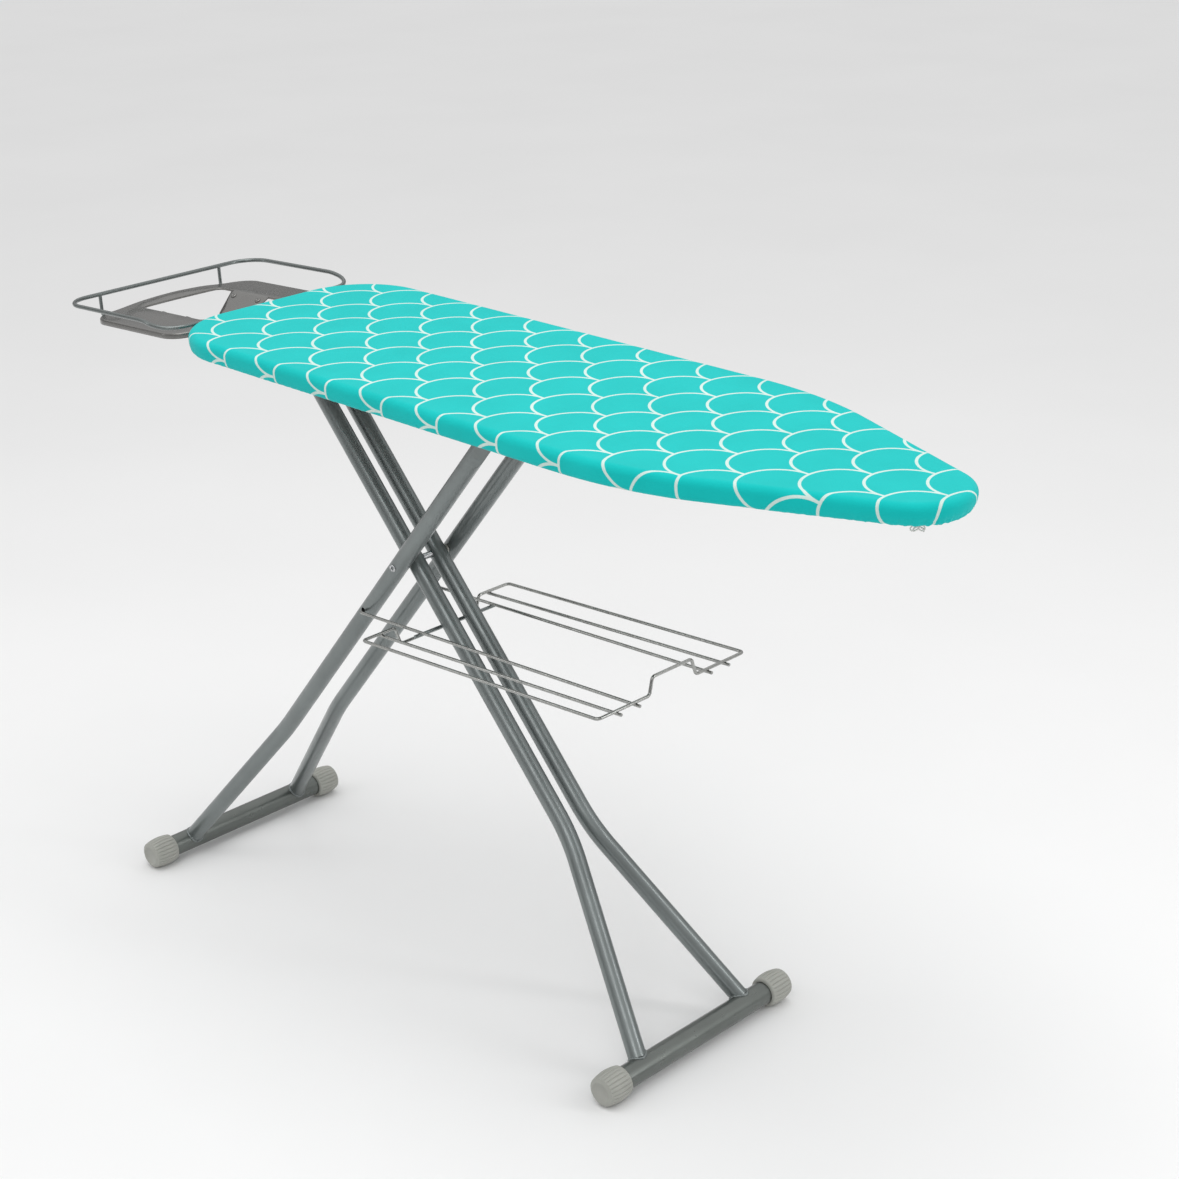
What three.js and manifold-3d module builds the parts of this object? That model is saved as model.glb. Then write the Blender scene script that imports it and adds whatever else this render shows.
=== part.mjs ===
// Folding ironing board with a padded steel deck, crossed tube legs, an iron rest and a wire rack.
// Millimetres, +Z up, +X towards the nose of the board, +Y to the left of someone facing the nose.
// The model is drawn standing at full height, about the axle where the legs cross (x = 0),
// and the finished group is then centred over its own footprint.
import * as THREE from 'three';
import { mergeVertices } from 'three/addons/utils/BufferGeometryUtils.js';
import Module from 'manifold-3d';

const wasm = await Module();
wasm.setup();

// ---- driving dimensions -------------------------------------------------------------------
const GAP = 0.3; // clearance between touching pieces

const BOARD_LENGTH = 1200;
const BOARD_HALF_WIDTH = 187;
const HEEL_CORNER_RADIUS = 108;
const NOSE_RADIUS = 74;
const TAPER_ANGLE = THREE.MathUtils.degToRad(22);
const TAPER_BLEND_RADIUS = 500;
const BOARD_TILT = THREE.MathUtils.degToRad(1.12); // the nose stands a little lower than the heel
const HEEL_FROM_PIVOT = 88.5; // heel edge to the fixed leg pivot, along the board
const PIVOT_DEPTH = 42; // ironing surface down to the leg pivots

const LEG_ANGLE = THREE.MathUtils.degToRad(49.35); // leg to floor
const LEG_LOWER = 738; // cross axle to the foot bar's axis
const LEG_BEND = 431; // cross axle to the bend where the tubes start to spread
const LEG_END = 14; // tube left beyond its top rod
const INNER_UPPER = 347.7; // cross axle to the fixed top pivot
const TUBE_RADIUS = 12.5;
const TUBE_WALL = 1.2;
const OUTER_Y = 49; // tube centre lines above the bend
const INNER_Y = 20.5;
const OUTER_SPREAD = 104; // tube centre lines at the foot bar
const INNER_SPREAD = 104;
const OUTER_FOOT_LENGTH = 364; // over the caps
const INNER_FOOT_LENGTH = 360;
const FOOT_BAR_RADIUS = 16;
const CAP_RADIUS = 22.5;
const CAP_LENGTH = 41;

const AXLE_RADIUS = 3;
const TOP_ROD_RADIUS = 5;
const RUNNING_GAP = 0.3;
const REST_ROD_RADIUS = 2.5;

const COVER_CLOTH = 1;
const PAD_THICKNESS = 5;
const DECK_SHEET = 1;
const RIM_DEPTH = 20;
const RIM_SHEET = 1.5;
const SKIRT_DEPTH = 29;
const HEM_WIDTH = 15;
const CORD_RADIUS = 1.3;

const RAIL_Y = 73;
const SLOT_HALF_HEIGHT = 8;
const FOLD_REST = THREE.MathUtils.degToRad(2); // angle left between inner leg and board when folded

const RING_LENGTH = 243.7;
const RING_HALF_WIDTH = 169.5;
const RING_RADIUS = 3;
const RING_CORNER = 40;
const RING_DIP = 9; // the ring's board-side bar is bent down to clear the cover
const RING_DIP_RUN = 60;
const RING_TILT = THREE.MathUtils.degToRad(3.06); // the iron rest droops away from the board
const PLATE_DROP = 21; // guard ring down to the rest plate
const PLATE_SHEET = 1.5;

const RACK_HOOK = 107; // cross axle to the rack's hook holes, down the outer leg
const RACK_TILT = THREE.MathUtils.degToRad(2.14); // the rack's nose end stands higher
const RACK_HEEL = 85.6; // hook line to the heel-end wire
const RACK_LENGTH = 523.3; // hook line to the nose-end wire
const RACK_HALF_WIDTH = 135;
const RACK_WIRE = 2.2; // wire radius
const RACK_INNER_Y = 66.5;
const RACK_OUTER_Y = 100;

// ---- derived places -----------------------------------------------------------------------
const AXLE_Z = CAP_RADIUS + LEG_LOWER * Math.sin(LEG_ANGLE);
const PIVOT = new THREE.Vector3(
  -INNER_UPPER * Math.cos(LEG_ANGLE), 0, AXLE_Z + INNER_UPPER * Math.sin(LEG_ANGLE));
const OUTER_UPPER =
  INNER_UPPER * Math.sin(LEG_ANGLE - BOARD_TILT) / Math.sin(LEG_ANGLE + BOARD_TILT);
const COVER_TOP = PIVOT_DEPTH;
const PAD_TOP = COVER_TOP - COVER_CLOTH - GAP;
const DECK_TOP = PAD_TOP - PAD_THICKNESS - GAP;
const UNDER_DECK = DECK_TOP - DECK_SHEET - GAP;
const HEEL_X = -HEEL_FROM_PIVOT;
const FRAME_INSET = 2.5; // deck, pad and rim edge inside the cover's edge
const SLIDE_X = INNER_UPPER * Math.cos(LEG_ANGLE - BOARD_TILT)
  + OUTER_UPPER * Math.cos(LEG_ANGLE + BOARD_TILT);
const SLIDE_END_X = (INNER_UPPER + OUTER_UPPER) * Math.cos(FOLD_REST);

// ---- materials ----------------------------------------------------------------------------
const paint = () => new THREE.MeshStandardMaterial({ color: 0x6b7577, roughness: 0.4, metalness: 0.5 });
const wire = () => new THREE.MeshStandardMaterial({ color: 0xa9adad, roughness: 0.25, metalness: 0.9 });
const steel = () => new THREE.MeshStandardMaterial({ color: 0xc4c6c6, roughness: 0.3, metalness: 0.9 });
const cap = () => new THREE.MeshStandardMaterial({ color: 0xa5a8a0, roughness: 0.6, metalness: 0 });
const black = () => new THREE.MeshStandardMaterial({ color: 0x2a2c2e, roughness: 0.6, metalness: 0 });
const cotton = () => new THREE.MeshStandardMaterial({ color: 0x17bdb4, roughness: 0.9, metalness: 0 });
const felt = () => new THREE.MeshStandardMaterial({ color: 0xd9d4c8, roughness: 0.95, metalness: 0 });
const cordWhite = () => new THREE.MeshStandardMaterial({ color: 0xe8e8e2, roughness: 0.9, metalness: 0 });

// ---- general helpers ----------------------------------------------------------------------
const vec = (x, y, z) => new THREE.Vector3(x, y, z);

function piece(name, geometry, material) {
  const mesh = new THREE.Mesh(geometry, material);
  mesh.name = name;
  return mesh;
}

function toSolid(geometry) {
  const bare = geometry.clone();
  bare.deleteAttribute('normal');
  bare.deleteAttribute('uv');
  const merged = mergeVertices(bare, 1e-4);
  return new wasm.Manifold(new wasm.Mesh({
    numProp: 3,
    vertProperties: new Float32Array(merged.attributes.position.array),
    triVerts: new Uint32Array(merged.index.array),
  }));
}

function toGeometry(solid) {
  const mesh = solid.getMesh();
  const geometry = new THREE.BufferGeometry();
  geometry.setAttribute('position', new THREE.BufferAttribute(mesh.vertProperties, 3));
  geometry.setIndex(new THREE.BufferAttribute(mesh.triVerts, 1));
  geometry.computeVertexNormals();
  return geometry;
}

function cut(geometry, ...tools) {
  let solid = toSolid(geometry);
  for (const tool of tools) solid = solid.subtract(toSolid(tool));
  return toGeometry(solid);
}

function join(...geometries) {
  let solid = toSolid(geometries[0]);
  for (const other of geometries.slice(1)) solid = solid.add(toSolid(other));
  return toGeometry(solid);
}

// Points along an arc in a plane, both ends included.
function arc(cx, cy, radius, from, to, steps) {
  const points = [];
  for (let i = 0; i <= steps; i++) {
    const a = from + (to - from) * i / steps;
    points.push(new THREE.Vector2(cx + radius * Math.cos(a), cy + radius * Math.sin(a)));
  }
  return points;
}

// A line through corner points, with each inner corner rounded off.
function rounded(corners, radius, steps, closed = false) {
  const count = corners.length;
  const points = [];
  for (let i = 0; i < count; i++) {
    const here = corners[i];
    if (!closed && (i === 0 || i === count - 1)) {
      points.push(here.clone());
      continue;
    }
    const back = corners[(i + count - 1) % count].clone().sub(here).normalize();
    const ahead = corners[(i + 1) % count].clone().sub(here).normalize();
    const half = back.angleTo(ahead) / 2;
    const reach = radius / Math.tan(half);
    const centre = back.clone().add(ahead).normalize().multiplyScalar(radius / Math.sin(half)).add(here);
    const first = back.multiplyScalar(reach).add(here).sub(centre);
    const last = ahead.multiplyScalar(reach).add(here).sub(centre);
    const turn = first.angleTo(last);
    for (let k = 0; k <= steps; k++) {
      const t = k / steps;
      const p = first.clone().multiplyScalar(Math.sin((1 - t) * turn))
        .add(last.clone().multiplyScalar(Math.sin(t * turn))).divideScalar(Math.sin(turn));
      points.push(p.add(centre));
    }
  }
  return points;
}

// A path whose steps are exactly the given points, so straight runs stay in one step.
class Run extends THREE.Curve {
  constructor(points) {
    super();
    this.points = points;
  }

  index(u) {
    return Math.round(u * (this.points.length - 1));
  }

  getPoint(u, target = new THREE.Vector3()) {
    return target.copy(this.points[this.index(u)]);
  }

  getPointAt(u, target) {
    return this.getPoint(u, target);
  }

  getTangentAt(u, target = new THREE.Vector3()) {
    const i = this.index(u);
    const last = this.points.length - 1;
    const back = this.points[i].clone().sub(this.points[Math.max(i - 1, 0)]).normalize();
    const ahead = this.points[Math.min(i + 1, last)].clone().sub(this.points[i]).normalize();
    return target.copy(back).add(ahead).normalize();
  }
}

function circle(radius, sides) {
  return new THREE.Shape(arc(0, 0, radius, 0, 2 * Math.PI, sides).slice(0, -1));
}

function sweep(points, shape) {
  return new THREE.ExtrudeGeometry(shape, {
    extrudePath: new Run(points), steps: points.length - 1, bevelEnabled: false,
  });
}

function rod(points, radius, sides = 8) {
  return sweep(points, circle(radius, sides));
}

function pipe(points, radius, wall, sides = 12) {
  const shape = circle(radius, sides);
  shape.holes.push(new THREE.Path(arc(0, 0, radius - wall, 0, 2 * Math.PI, sides).slice(0, -1)));
  return sweep(points, shape);
}

// A wire that closes on itself. The section is kept upright against the given normal.
function loopWire(points, radius, sides, normal = vec(0, 0, 1)) {
  const count = points.length;
  const positions = [];
  const indices = [];
  points.forEach((point, i) => {
    const tangent = points[(i + 1) % count].clone().sub(points[(i + count - 1) % count]).normalize();
    const side = normal.clone().cross(tangent).normalize();
    const up = tangent.clone().cross(side).normalize();
    for (let k = 0; k < sides; k++) {
      const a = 2 * Math.PI * k / sides;
      const p = point.clone().addScaledVector(side, radius * Math.cos(a)).addScaledVector(up, radius * Math.sin(a));
      positions.push(p.x, p.y, p.z);
      const next = (k + 1) % sides;
      const ahead = (i + 1) % count;
      indices.push(i * sides + k, i * sides + next, ahead * sides + k);
      indices.push(ahead * sides + k, i * sides + next, ahead * sides + next);
    }
  });
  const geometry = new THREE.BufferGeometry();
  geometry.setAttribute('position', new THREE.Float32BufferAttribute(positions, 3));
  geometry.setIndex(indices);
  return geometry;
}

// A solid of revolution about the Y axis. Each profile point is [radius, y].
function turned(profile, sides = 16) {
  return new THREE.LatheGeometry(profile.map(([r, y]) => new THREE.Vector2(r, y)), sides);
}

// A round bar along Y.
function crossBar(x, z, radius, fromY, toY, sides = 16) {
  const bar = turned([[0, fromY], [radius, fromY], [radius, toY], [0, toY]], sides);
  return bar.translate(x, 0, z);
}

// A ring about an axis along Y.
function washer(x, z, bore, radius, fromY, toY, sides = 16) {
  const profile = [[bore, fromY], [radius, fromY], [radius, toY], [bore, toY], [bore, fromY]];
  return turned(profile, sides).translate(x, 0, z);
}

function block(x0, x1, y0, y1, z0, z1) {
  return new THREE.BoxGeometry(x1 - x0, y1 - y0, z1 - z0)
    .translate((x0 + x1) / 2, (y0 + y1) / 2, (z0 + z1) / 2);
}

// A flat sheet lying in XY between two heights.
function sheet(shape, z0, z1) {
  return new THREE.ExtrudeGeometry(shape, { depth: z1 - z0, bevelEnabled: false }).translate(0, 0, z0);
}

// A flat plate standing in XZ between two places along Y. The shape is drawn in x and z.
function upright(shape, y0, y1) {
  return new THREE.ExtrudeGeometry(shape, { depth: y1 - y0, bevelEnabled: false })
    .rotateX(Math.PI / 2).translate(0, y1, 0);
}

const sides = [['left', 1], ['right', -1]];

// ---- board --------------------------------------------------------------------------------
// Outline of the board, set in from the cover's edge, as points from the heel round to the heel.
function boardOutline(inset, arcSteps = 8) {
  const half = BOARD_HALF_WIDTH;
  const noseX = HEEL_X + BOARD_LENGTH - NOSE_RADIUS;
  const taperDrop = TAPER_BLEND_RADIUS * (1 - Math.cos(TAPER_ANGLE));
  const taperRun = (half - taperDrop - NOSE_RADIUS * Math.cos(TAPER_ANGLE)) / Math.tan(TAPER_ANGLE);
  const blendX = noseX + (NOSE_RADIUS - TAPER_BLEND_RADIUS) * Math.sin(TAPER_ANGLE) - taperRun;
  const left = [
    ...arc(HEEL_X + HEEL_CORNER_RADIUS, half - HEEL_CORNER_RADIUS, HEEL_CORNER_RADIUS - inset,
      Math.PI, Math.PI / 2, arcSteps),
    ...arc(blendX, half - TAPER_BLEND_RADIUS, TAPER_BLEND_RADIUS - inset,
      Math.PI / 2, Math.PI / 2 - TAPER_ANGLE, 4),
    ...arc(noseX, 0, NOSE_RADIUS - inset, Math.PI / 2 - TAPER_ANGLE, 0, arcSteps),
  ];
  const right = left.slice(0, -1).reverse().map((p) => new THREE.Vector2(p.x, -p.y));
  return [...left, ...right];
}

function boardShape(inset) {
  return new THREE.Shape(boardOutline(inset).reverse());
}

function cover() {
  const bottom = COVER_TOP - SKIRT_DEPTH;
  const outside = sheet(boardShape(0), bottom, COVER_TOP);
  const inside = sheet(boardShape(COVER_CLOTH), bottom + COVER_CLOTH, COVER_TOP - COVER_CLOTH);
  const mouth = sheet(boardShape(HEM_WIDTH), bottom - 5, bottom + 5);
  return piece('cover', cut(outside, inside, mouth), cotton());
}

function pad() {
  return piece('pad', sheet(boardShape(FRAME_INSET), PAD_TOP - PAD_THICKNESS, PAD_TOP), felt());
}

// Steel deck with rows of steam holes.
function deckPanel() {
  const shape = boardShape(FRAME_INSET);
  const pitchX = 96;
  const pitchY = 72;
  const holeRadius = 20;
  const margin = boardOutline(FRAME_INSET + holeRadius + 12);
  for (let i = 0; i < 12; i++) {
    for (let j = -2; j <= 2; j++) {
      const x = HEEL_X + 45 + i * pitchX;
      const y = (j + (i % 2) / 2) * pitchY;
      if (!inside(margin, x, y)) continue;
      shape.holes.push(new THREE.Path(arc(x, y, holeRadius, 0, 2 * Math.PI, 6).slice(0, -1)));
    }
  }
  return piece('deck_panel', sheet(shape, DECK_TOP - DECK_SHEET, DECK_TOP), paint());
}

function inside(outline, x, y) {
  let hit = false;
  outline.forEach((a, i) => {
    const b = outline[(i + 1) % outline.length];
    if ((a.y > y) !== (b.y > y) && x < a.x + (b.x - a.x) * (y - a.y) / (b.y - a.y)) hit = !hit;
  });
  return hit;
}

function rimFrame() {
  const shape = boardShape(FRAME_INSET);
  shape.holes.push(new THREE.Path(boardOutline(FRAME_INSET + RIM_SHEET)));
  return piece('rim_frame', sheet(shape, UNDER_DECK - RIM_DEPTH, UNDER_DECK), paint());
}

// An open channel across the board, welded under the deck.
function crossChannel(name, x, halfWidth, halfSpan) {
  const depth = 8;
  const wall = 1.5;
  const low = UNDER_DECK - depth;
  const shape = new THREE.Shape([
    new THREE.Vector2(x - halfWidth, UNDER_DECK), new THREE.Vector2(x - halfWidth, low),
    new THREE.Vector2(x + halfWidth, low), new THREE.Vector2(x + halfWidth, UNDER_DECK),
    new THREE.Vector2(x + halfWidth - wall, UNDER_DECK), new THREE.Vector2(x + halfWidth - wall, low + wall),
    new THREE.Vector2(x - halfWidth + wall, low + wall), new THREE.Vector2(x - halfWidth + wall, UNDER_DECK),
  ]);
  return piece(name, upright(shape, -halfSpan, halfSpan), paint());
}

const CHANNEL_LOW = UNDER_DECK - 8 - GAP;
const EAR_Y = 37; // pivot ears stand just outside the inner tubes
const EAR_SHEET = 2;

// One ear of the fixed pivot: a foot under the channel and a web with the rod's hole.
function pivotEar(name, side) {
  const halfWidth = 16;
  const web = new THREE.Shape([
    new THREE.Vector2(-halfWidth, CHANNEL_LOW),
    ...arc(0, 0, 10.5, Math.PI, 2 * Math.PI, 8),
    new THREE.Vector2(halfWidth, CHANNEL_LOW),
  ]);
  web.holes.push(new THREE.Path(arc(0, 0, TOP_ROD_RADIUS + RUNNING_GAP, 0, 2 * Math.PI, 16).slice(0, -1)));
  const y0 = side * EAR_Y - EAR_SHEET / 2;
  const foot = block(-halfWidth, halfWidth, Math.min(y0, y0 + side * 16), Math.max(y0, y0 + side * 16) + EAR_SHEET,
    CHANNEL_LOW - EAR_SHEET, CHANNEL_LOW);
  return piece(name, join(upright(web, y0, y0 + EAR_SHEET), foot), paint());
}

const RAIL_START = SLIDE_X - 32;
const RAIL_END = SLIDE_END_X + 28;

// Slotted rail for the outer leg's top rod.
function slideRail(name, side) {
  const low = -SLOT_HALF_HEIGHT - 5;
  const web = new THREE.Shape([
    new THREE.Vector2(RAIL_START, UNDER_DECK), new THREE.Vector2(RAIL_START, 0),
    new THREE.Vector2(RAIL_START + 12, low), new THREE.Vector2(RAIL_END - 12, low),
    new THREE.Vector2(RAIL_END, 0), new THREE.Vector2(RAIL_END, UNDER_DECK),
  ]);
  web.holes.push(new THREE.Path([
    ...arc(SLIDE_X, 0, SLOT_HALF_HEIGHT, Math.PI / 2, 1.5 * Math.PI, 8),
    ...arc(SLIDE_END_X, 0, SLOT_HALF_HEIGHT, -Math.PI / 2, Math.PI / 2, 8),
  ]));
  const y0 = side * RAIL_Y - EAR_SHEET / 2;
  const edge = side > 0 ? y0 : y0 - 14;
  const flange = block(RAIL_START, RAIL_END, edge, edge + EAR_SHEET + 14, UNDER_DECK - EAR_SHEET, UNDER_DECK);
  return piece(name, join(upright(web, y0, y0 + EAR_SHEET), flange), paint());
}

// The white draw cord lies in the hem; its two ends meet by the nose and are tied in a loop.
const CORD_Z = COVER_TOP - SKIRT_DEPTH + COVER_CLOTH / 2;

function drawCord() {
  const inset = HEM_WIDTH + CORD_RADIUS + GAP;
  const outline = boardOutline(inset).map((p) => vec(p.x, p.y, CORD_Z));
  const start = outline.length - 17; // on the right of the nose
  const route = [...outline.slice(start), ...outline.slice(0, start - 1)];
  return piece('draw_cord', rod(route, CORD_RADIUS, 6), cordWhite());
}

function cordLoop() {
  const inset = HEM_WIDTH + CORD_RADIUS + GAP;
  const outline = boardOutline(inset);
  const at = outline[outline.length - 18].clone().lerp(outline[outline.length - 17], 0.5);
  const along = outline[outline.length - 17].clone().sub(outline[outline.length - 18]).normalize();
  const width = 13;
  const height = 9;
  const top = CORD_Z - CORD_RADIUS - 0.5;
  const points = [];
  for (let i = 0; i < 14; i++) {
    const a = 2 * Math.PI * i / 14;
    const s = width * Math.cos(a);
    points.push(vec(at.x + along.x * s, at.y + along.y * s, top - height - 1.3 + height * Math.sin(a)));
  }
  return piece('cord_loop', loopWire(points, CORD_RADIUS, 6, vec(-along.y, along.x, 0)), cordWhite());
}

// ---- height lever -------------------------------------------------------------------------
const LEVER_X = SLIDE_X - 54;
const LEVER_Z = 17;
const LEVER_ROD = 4;
const LEVER_LIFT = THREE.MathUtils.degToRad(7.5); // drawn squeezed, with its notches clear of the leg's rod
const NOTCH_PITCH = 38;

// The latch plate drops its notches over the outer leg's top rod.
function latchPlate() {
  const low = -LEVER_Z - 1;
  const rodHold = TOP_ROD_RADIUS + 0.7;
  const outline = [new THREE.Vector2(-9, 6.5), new THREE.Vector2(-9, -9)];
  for (let i = 0; i < 3; i++) {
    const x = SLIDE_X - LEVER_X + i * NOTCH_PITCH;
    outline.push(new THREE.Vector2(x - rodHold, low));
    outline.push(...arc(x, -LEVER_Z, rodHold, Math.PI, 0, 8));
    outline.push(new THREE.Vector2(x + rodHold, low));
  }
  const end = SLIDE_X - LEVER_X + 2 * NOTCH_PITCH + 14;
  outline.push(new THREE.Vector2(end, low), new THREE.Vector2(end, -5));
  outline.push(new THREE.Vector2(30, 6.5));
  const plate = new THREE.Shape(outline);
  const hole = arc(0, 0, LEVER_ROD + GAP, 0, 2 * Math.PI, 12).slice(0, -1);
  plate.holes.push(new THREE.Path(hole));
  return piece('latch_plate', upright(plate, -1.5, 1.5), steel());
}

// Cranked rod that the user squeezes up under the right-hand edge of the board.
const LEVER_GRIP_Y = -150;

function leverRod() {
  const route = rounded([
    vec(0, 12, 0), vec(0, LEVER_GRIP_Y, 0), vec(110, LEVER_GRIP_Y, -9),
  ], 12, 4);
  return piece('lever_rod', rod(route, LEVER_ROD, 12), steel());
}

function leverGrip() {
  const along = (x) => vec(x, LEVER_GRIP_Y, -9 * x / 110);
  const body = rod([along(52), along(116)], 7, 12);
  const bore = rod([along(20), along(111)], LEVER_ROD + GAP, 12);
  return piece('lever_grip', cut(body, bore), black());
}

function leverBracket(name, y) {
  const web = new THREE.Shape([
    new THREE.Vector2(LEVER_X - 11, CHANNEL_LOW), new THREE.Vector2(LEVER_X - 9, LEVER_Z - 8),
    new THREE.Vector2(LEVER_X + 9, LEVER_Z - 8), new THREE.Vector2(LEVER_X + 11, CHANNEL_LOW),
  ]);
  const hole = arc(LEVER_X, LEVER_Z, LEVER_ROD + RUNNING_GAP, 0, 2 * Math.PI, 12).slice(0, -1);
  web.holes.push(new THREE.Path(hole));
  return piece(name, upright(web, y, y + EAR_SHEET), paint());
}

function leverSpring() {
  const body = washer(LEVER_X, LEVER_Z, LEVER_ROD + 0.8, LEVER_ROD + 2.8, -46, -32, 12);
  return piece('lever_spring', body, steel());
}

// ---- iron rest ----------------------------------------------------------------------------
// Drawn about the middle of the guard ring's board-side bar; the rest runs out along -X.
const PLATE_NEAR = -20; // plate's edge next to the board
const PLATE_FAR = -222;
const PLATE_HALF_WIDTH = 141;
const WINDOW_NEAR = -47;
const WINDOW_FAR = -194;
const WINDOW_HALF_WIDTH = 71;
const POST_Y = 107;

function roundedBox(x0, x1, halfWidth, radius, steps) {
  return [
    ...arc(x1 - radius, halfWidth - radius, radius, Math.PI / 2, 0, steps),
    ...arc(x1 - radius, -halfWidth + radius, radius, 0, -Math.PI / 2, steps),
    ...arc(x0 + radius, -halfWidth + radius, radius, -Math.PI / 2, -Math.PI, steps),
    ...arc(x0 + radius, halfWidth - radius, radius, Math.PI, Math.PI / 2, steps),
  ];
}

function ringHeight(x) {
  return -RING_DIP * THREE.MathUtils.smoothstep(x, -RING_DIP_RUN, 0);
}

function guardRing() {
  const outline = roundedBox(-RING_LENGTH, 0, RING_HALF_WIDTH, RING_CORNER, 5);
  const bends = [1, -1].map((side) => new THREE.Vector2(-RING_DIP_RUN, side * RING_HALF_WIDTH));
  outline.splice(12, 0, bends[1]);
  outline.push(bends[0]);
  const points = outline.map((p) => vec(p.x, p.y, ringHeight(p.x)));
  return piece('guard_ring', loopWire(points, RING_RADIUS, 8), paint());
}

// Pressed plate with a turned-down flange and a square window.
function restPlate() {
  const flange = 7;
  const corner = 32;
  const outer = roundedBox(PLATE_FAR, PLATE_NEAR, PLATE_HALF_WIDTH, corner, 5);
  const inner = roundedBox(PLATE_FAR + PLATE_SHEET, PLATE_NEAR - PLATE_SHEET,
    PLATE_HALF_WIDTH - PLATE_SHEET, corner - PLATE_SHEET, 5);
  const window = roundedBox(WINDOW_FAR, WINDOW_NEAR, WINDOW_HALF_WIDTH, 10, 3);
  const top = -PLATE_DROP;
  const body = sheet(new THREE.Shape(outer), top - flange, top);
  const hollow = sheet(new THREE.Shape(inner), top - flange - 5, top - PLATE_SHEET);
  const opening = sheet(new THREE.Shape(window), top - flange - 5, top + 5);
  return piece('iron_rest_plate', cut(body, hollow, opening), paint());
}

const TAB_TOP = -PLATE_DROP - PLATE_SHEET - GAP;
const TAB_FOLD_Y = 71; // the tab is flat under the plate and bends down from here
const TAB_END_Y = 29;
const TAB_ANGLE = THREE.MathUtils.degToRad(31.4);
const STUD_X = [-95, -152];
const STUD_Y = 62;

function tabHeight(y) {
  return TAB_TOP - Math.max(0, TAB_FOLD_Y - y) * Math.tan(TAB_ANGLE);
}

// Stands a shape made about Z on a tab's sloping face.
function onTab(geometry, side, x) {
  return geometry.rotateX(side * TAB_ANGLE).translate(x, side * STUD_Y, tabHeight(STUD_Y));
}

// A tab under each side of the window, bent down and narrowing towards the middle.
function restTab(name, side) {
  const thick = PLATE_SHEET / Math.cos(TAB_ANGLE);
  const profile = [
    [82, TAB_TOP], [TAB_FOLD_Y, TAB_TOP], [TAB_END_Y, tabHeight(TAB_END_Y)],
    [TAB_END_Y, tabHeight(TAB_END_Y) - thick], [TAB_FOLD_Y + 0.4, TAB_TOP - PLATE_SHEET],
    [82, TAB_TOP - PLATE_SHEET],
  ].map(([y, z]) => new THREE.Vector2(side * y, z));
  const strip = sheet(new THREE.Shape(profile), -168, -80);
  const toRow = new THREE.Matrix4().makeBasis(vec(0, 1, 0), vec(0, 0, 1), vec(1, 0, 0));
  strip.applyMatrix4(toRow);
  const spots = strip.attributes.position;
  for (let i = 0; i < spots.count; i += 1) {
    const inner = Math.abs(spots.getY(i)) < TAB_END_Y + 1;
    if (inner) spots.setX(i, spots.getX(i) < -100 ? -148 : -86);
  }
  const holes = STUD_X.map((x) => {
    const drill = turned([[0, -6], [2.5, -6], [2.5, 6], [0, 6]], 8).rotateX(Math.PI / 2);
    return onTab(drill, side, x);
  });
  return piece(name, cut(strip, ...holes), paint());
}

// Riveted stud on a tab.
function restStud(name, x, side) {
  const low = -PLATE_SHEET - GAP;
  const body = turned([
    [0, low - 1.2], [3.4, low - 1.2], [3.4, low], [2.2, low], [2.2, GAP], [4.5, GAP],
    [4.5, 1.6], [3.2, 2.6], [0, 2.6],
  ], 8).rotateX(Math.PI / 2);
  return piece(name, onTab(body, side, x), steel());
}

// Bent wire from the ring's outer bar down, under the plate and on beneath the board's heel.
const SUPPORT_RADIUS = 2.5;

function supportWire(name, side) {
  const y = side * POST_Y;
  const under = -PLATE_DROP - 7 - GAP - SUPPORT_RADIUS;
  const route = rounded([
    vec(-RING_LENGTH, y, -RING_RADIUS - GAP), vec(-RING_LENGTH, y, under), vec(-8, y, under),
    vec(6, y, under - 5), vec(36, y, under - 5), vec(36, y, -18.3),
  ], 6, 3);
  return piece(name, rod(route, SUPPORT_RADIUS, 8), paint());
}

function ringPost(name, side) {
  const low = -PLATE_DROP - 9.2;
  const high = -RING_DIP - RING_RADIUS - GAP;
  const post = rod([vec(0, side * POST_Y, low), vec(0, side * POST_Y, high)], SUPPORT_RADIUS, 8);
  return piece(name, post, paint());
}

function ironRest() {
  const group = new THREE.Group();
  group.position.set(HEEL_X - RING_RADIUS - 1, 0, COVER_TOP - 0.2);
  group.rotation.y = -RING_TILT;
  group.add(guardRing(), restPlate());
  for (const [hand, side] of sides) {
    group.add(restTab(`rest_tab_${hand}`, side), supportWire(`support_wire_${hand}`, side));
    group.add(ringPost(`ring_post_${hand}`, side));
    STUD_X.forEach((x, i) => group.add(restStud(`rest_stud_${hand}_${i + 1}`, x, side)));
  }
  return group;
}

function lever() {
  const group = new THREE.Group();
  group.position.set(LEVER_X, 0, LEVER_Z);
  group.rotation.y = -LEVER_LIFT;
  group.add(latchPlate(), leverRod(), leverGrip());
  return group;
}

function board() {
  const group = new THREE.Group();
  group.position.copy(PIVOT);
  group.rotation.y = BOARD_TILT;
  group.add(cover(), pad(), deckPanel(), rimFrame(), drawCord(), cordLoop());
  group.add(crossChannel('heel_channel', HEEL_X + 34, 10, 130), crossChannel('pivot_channel', 0, 24, 150));
  group.add(crossChannel('lever_channel', LEVER_X - 2, 14, 160), crossChannel('nose_channel', RAIL_END + 26, 18, 140));
  for (const [hand, side] of sides) {
    group.add(pivotEar(`pivot_bracket_${hand}`, side), slideRail(`slide_rail_${hand}`, side));
  }
  group.add(lever(), leverSpring());
  group.add(leverBracket('lever_bracket_inner', -26), leverBracket('lever_bracket_outer', -128));
  group.add(ironRest());
  return group;
}

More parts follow.
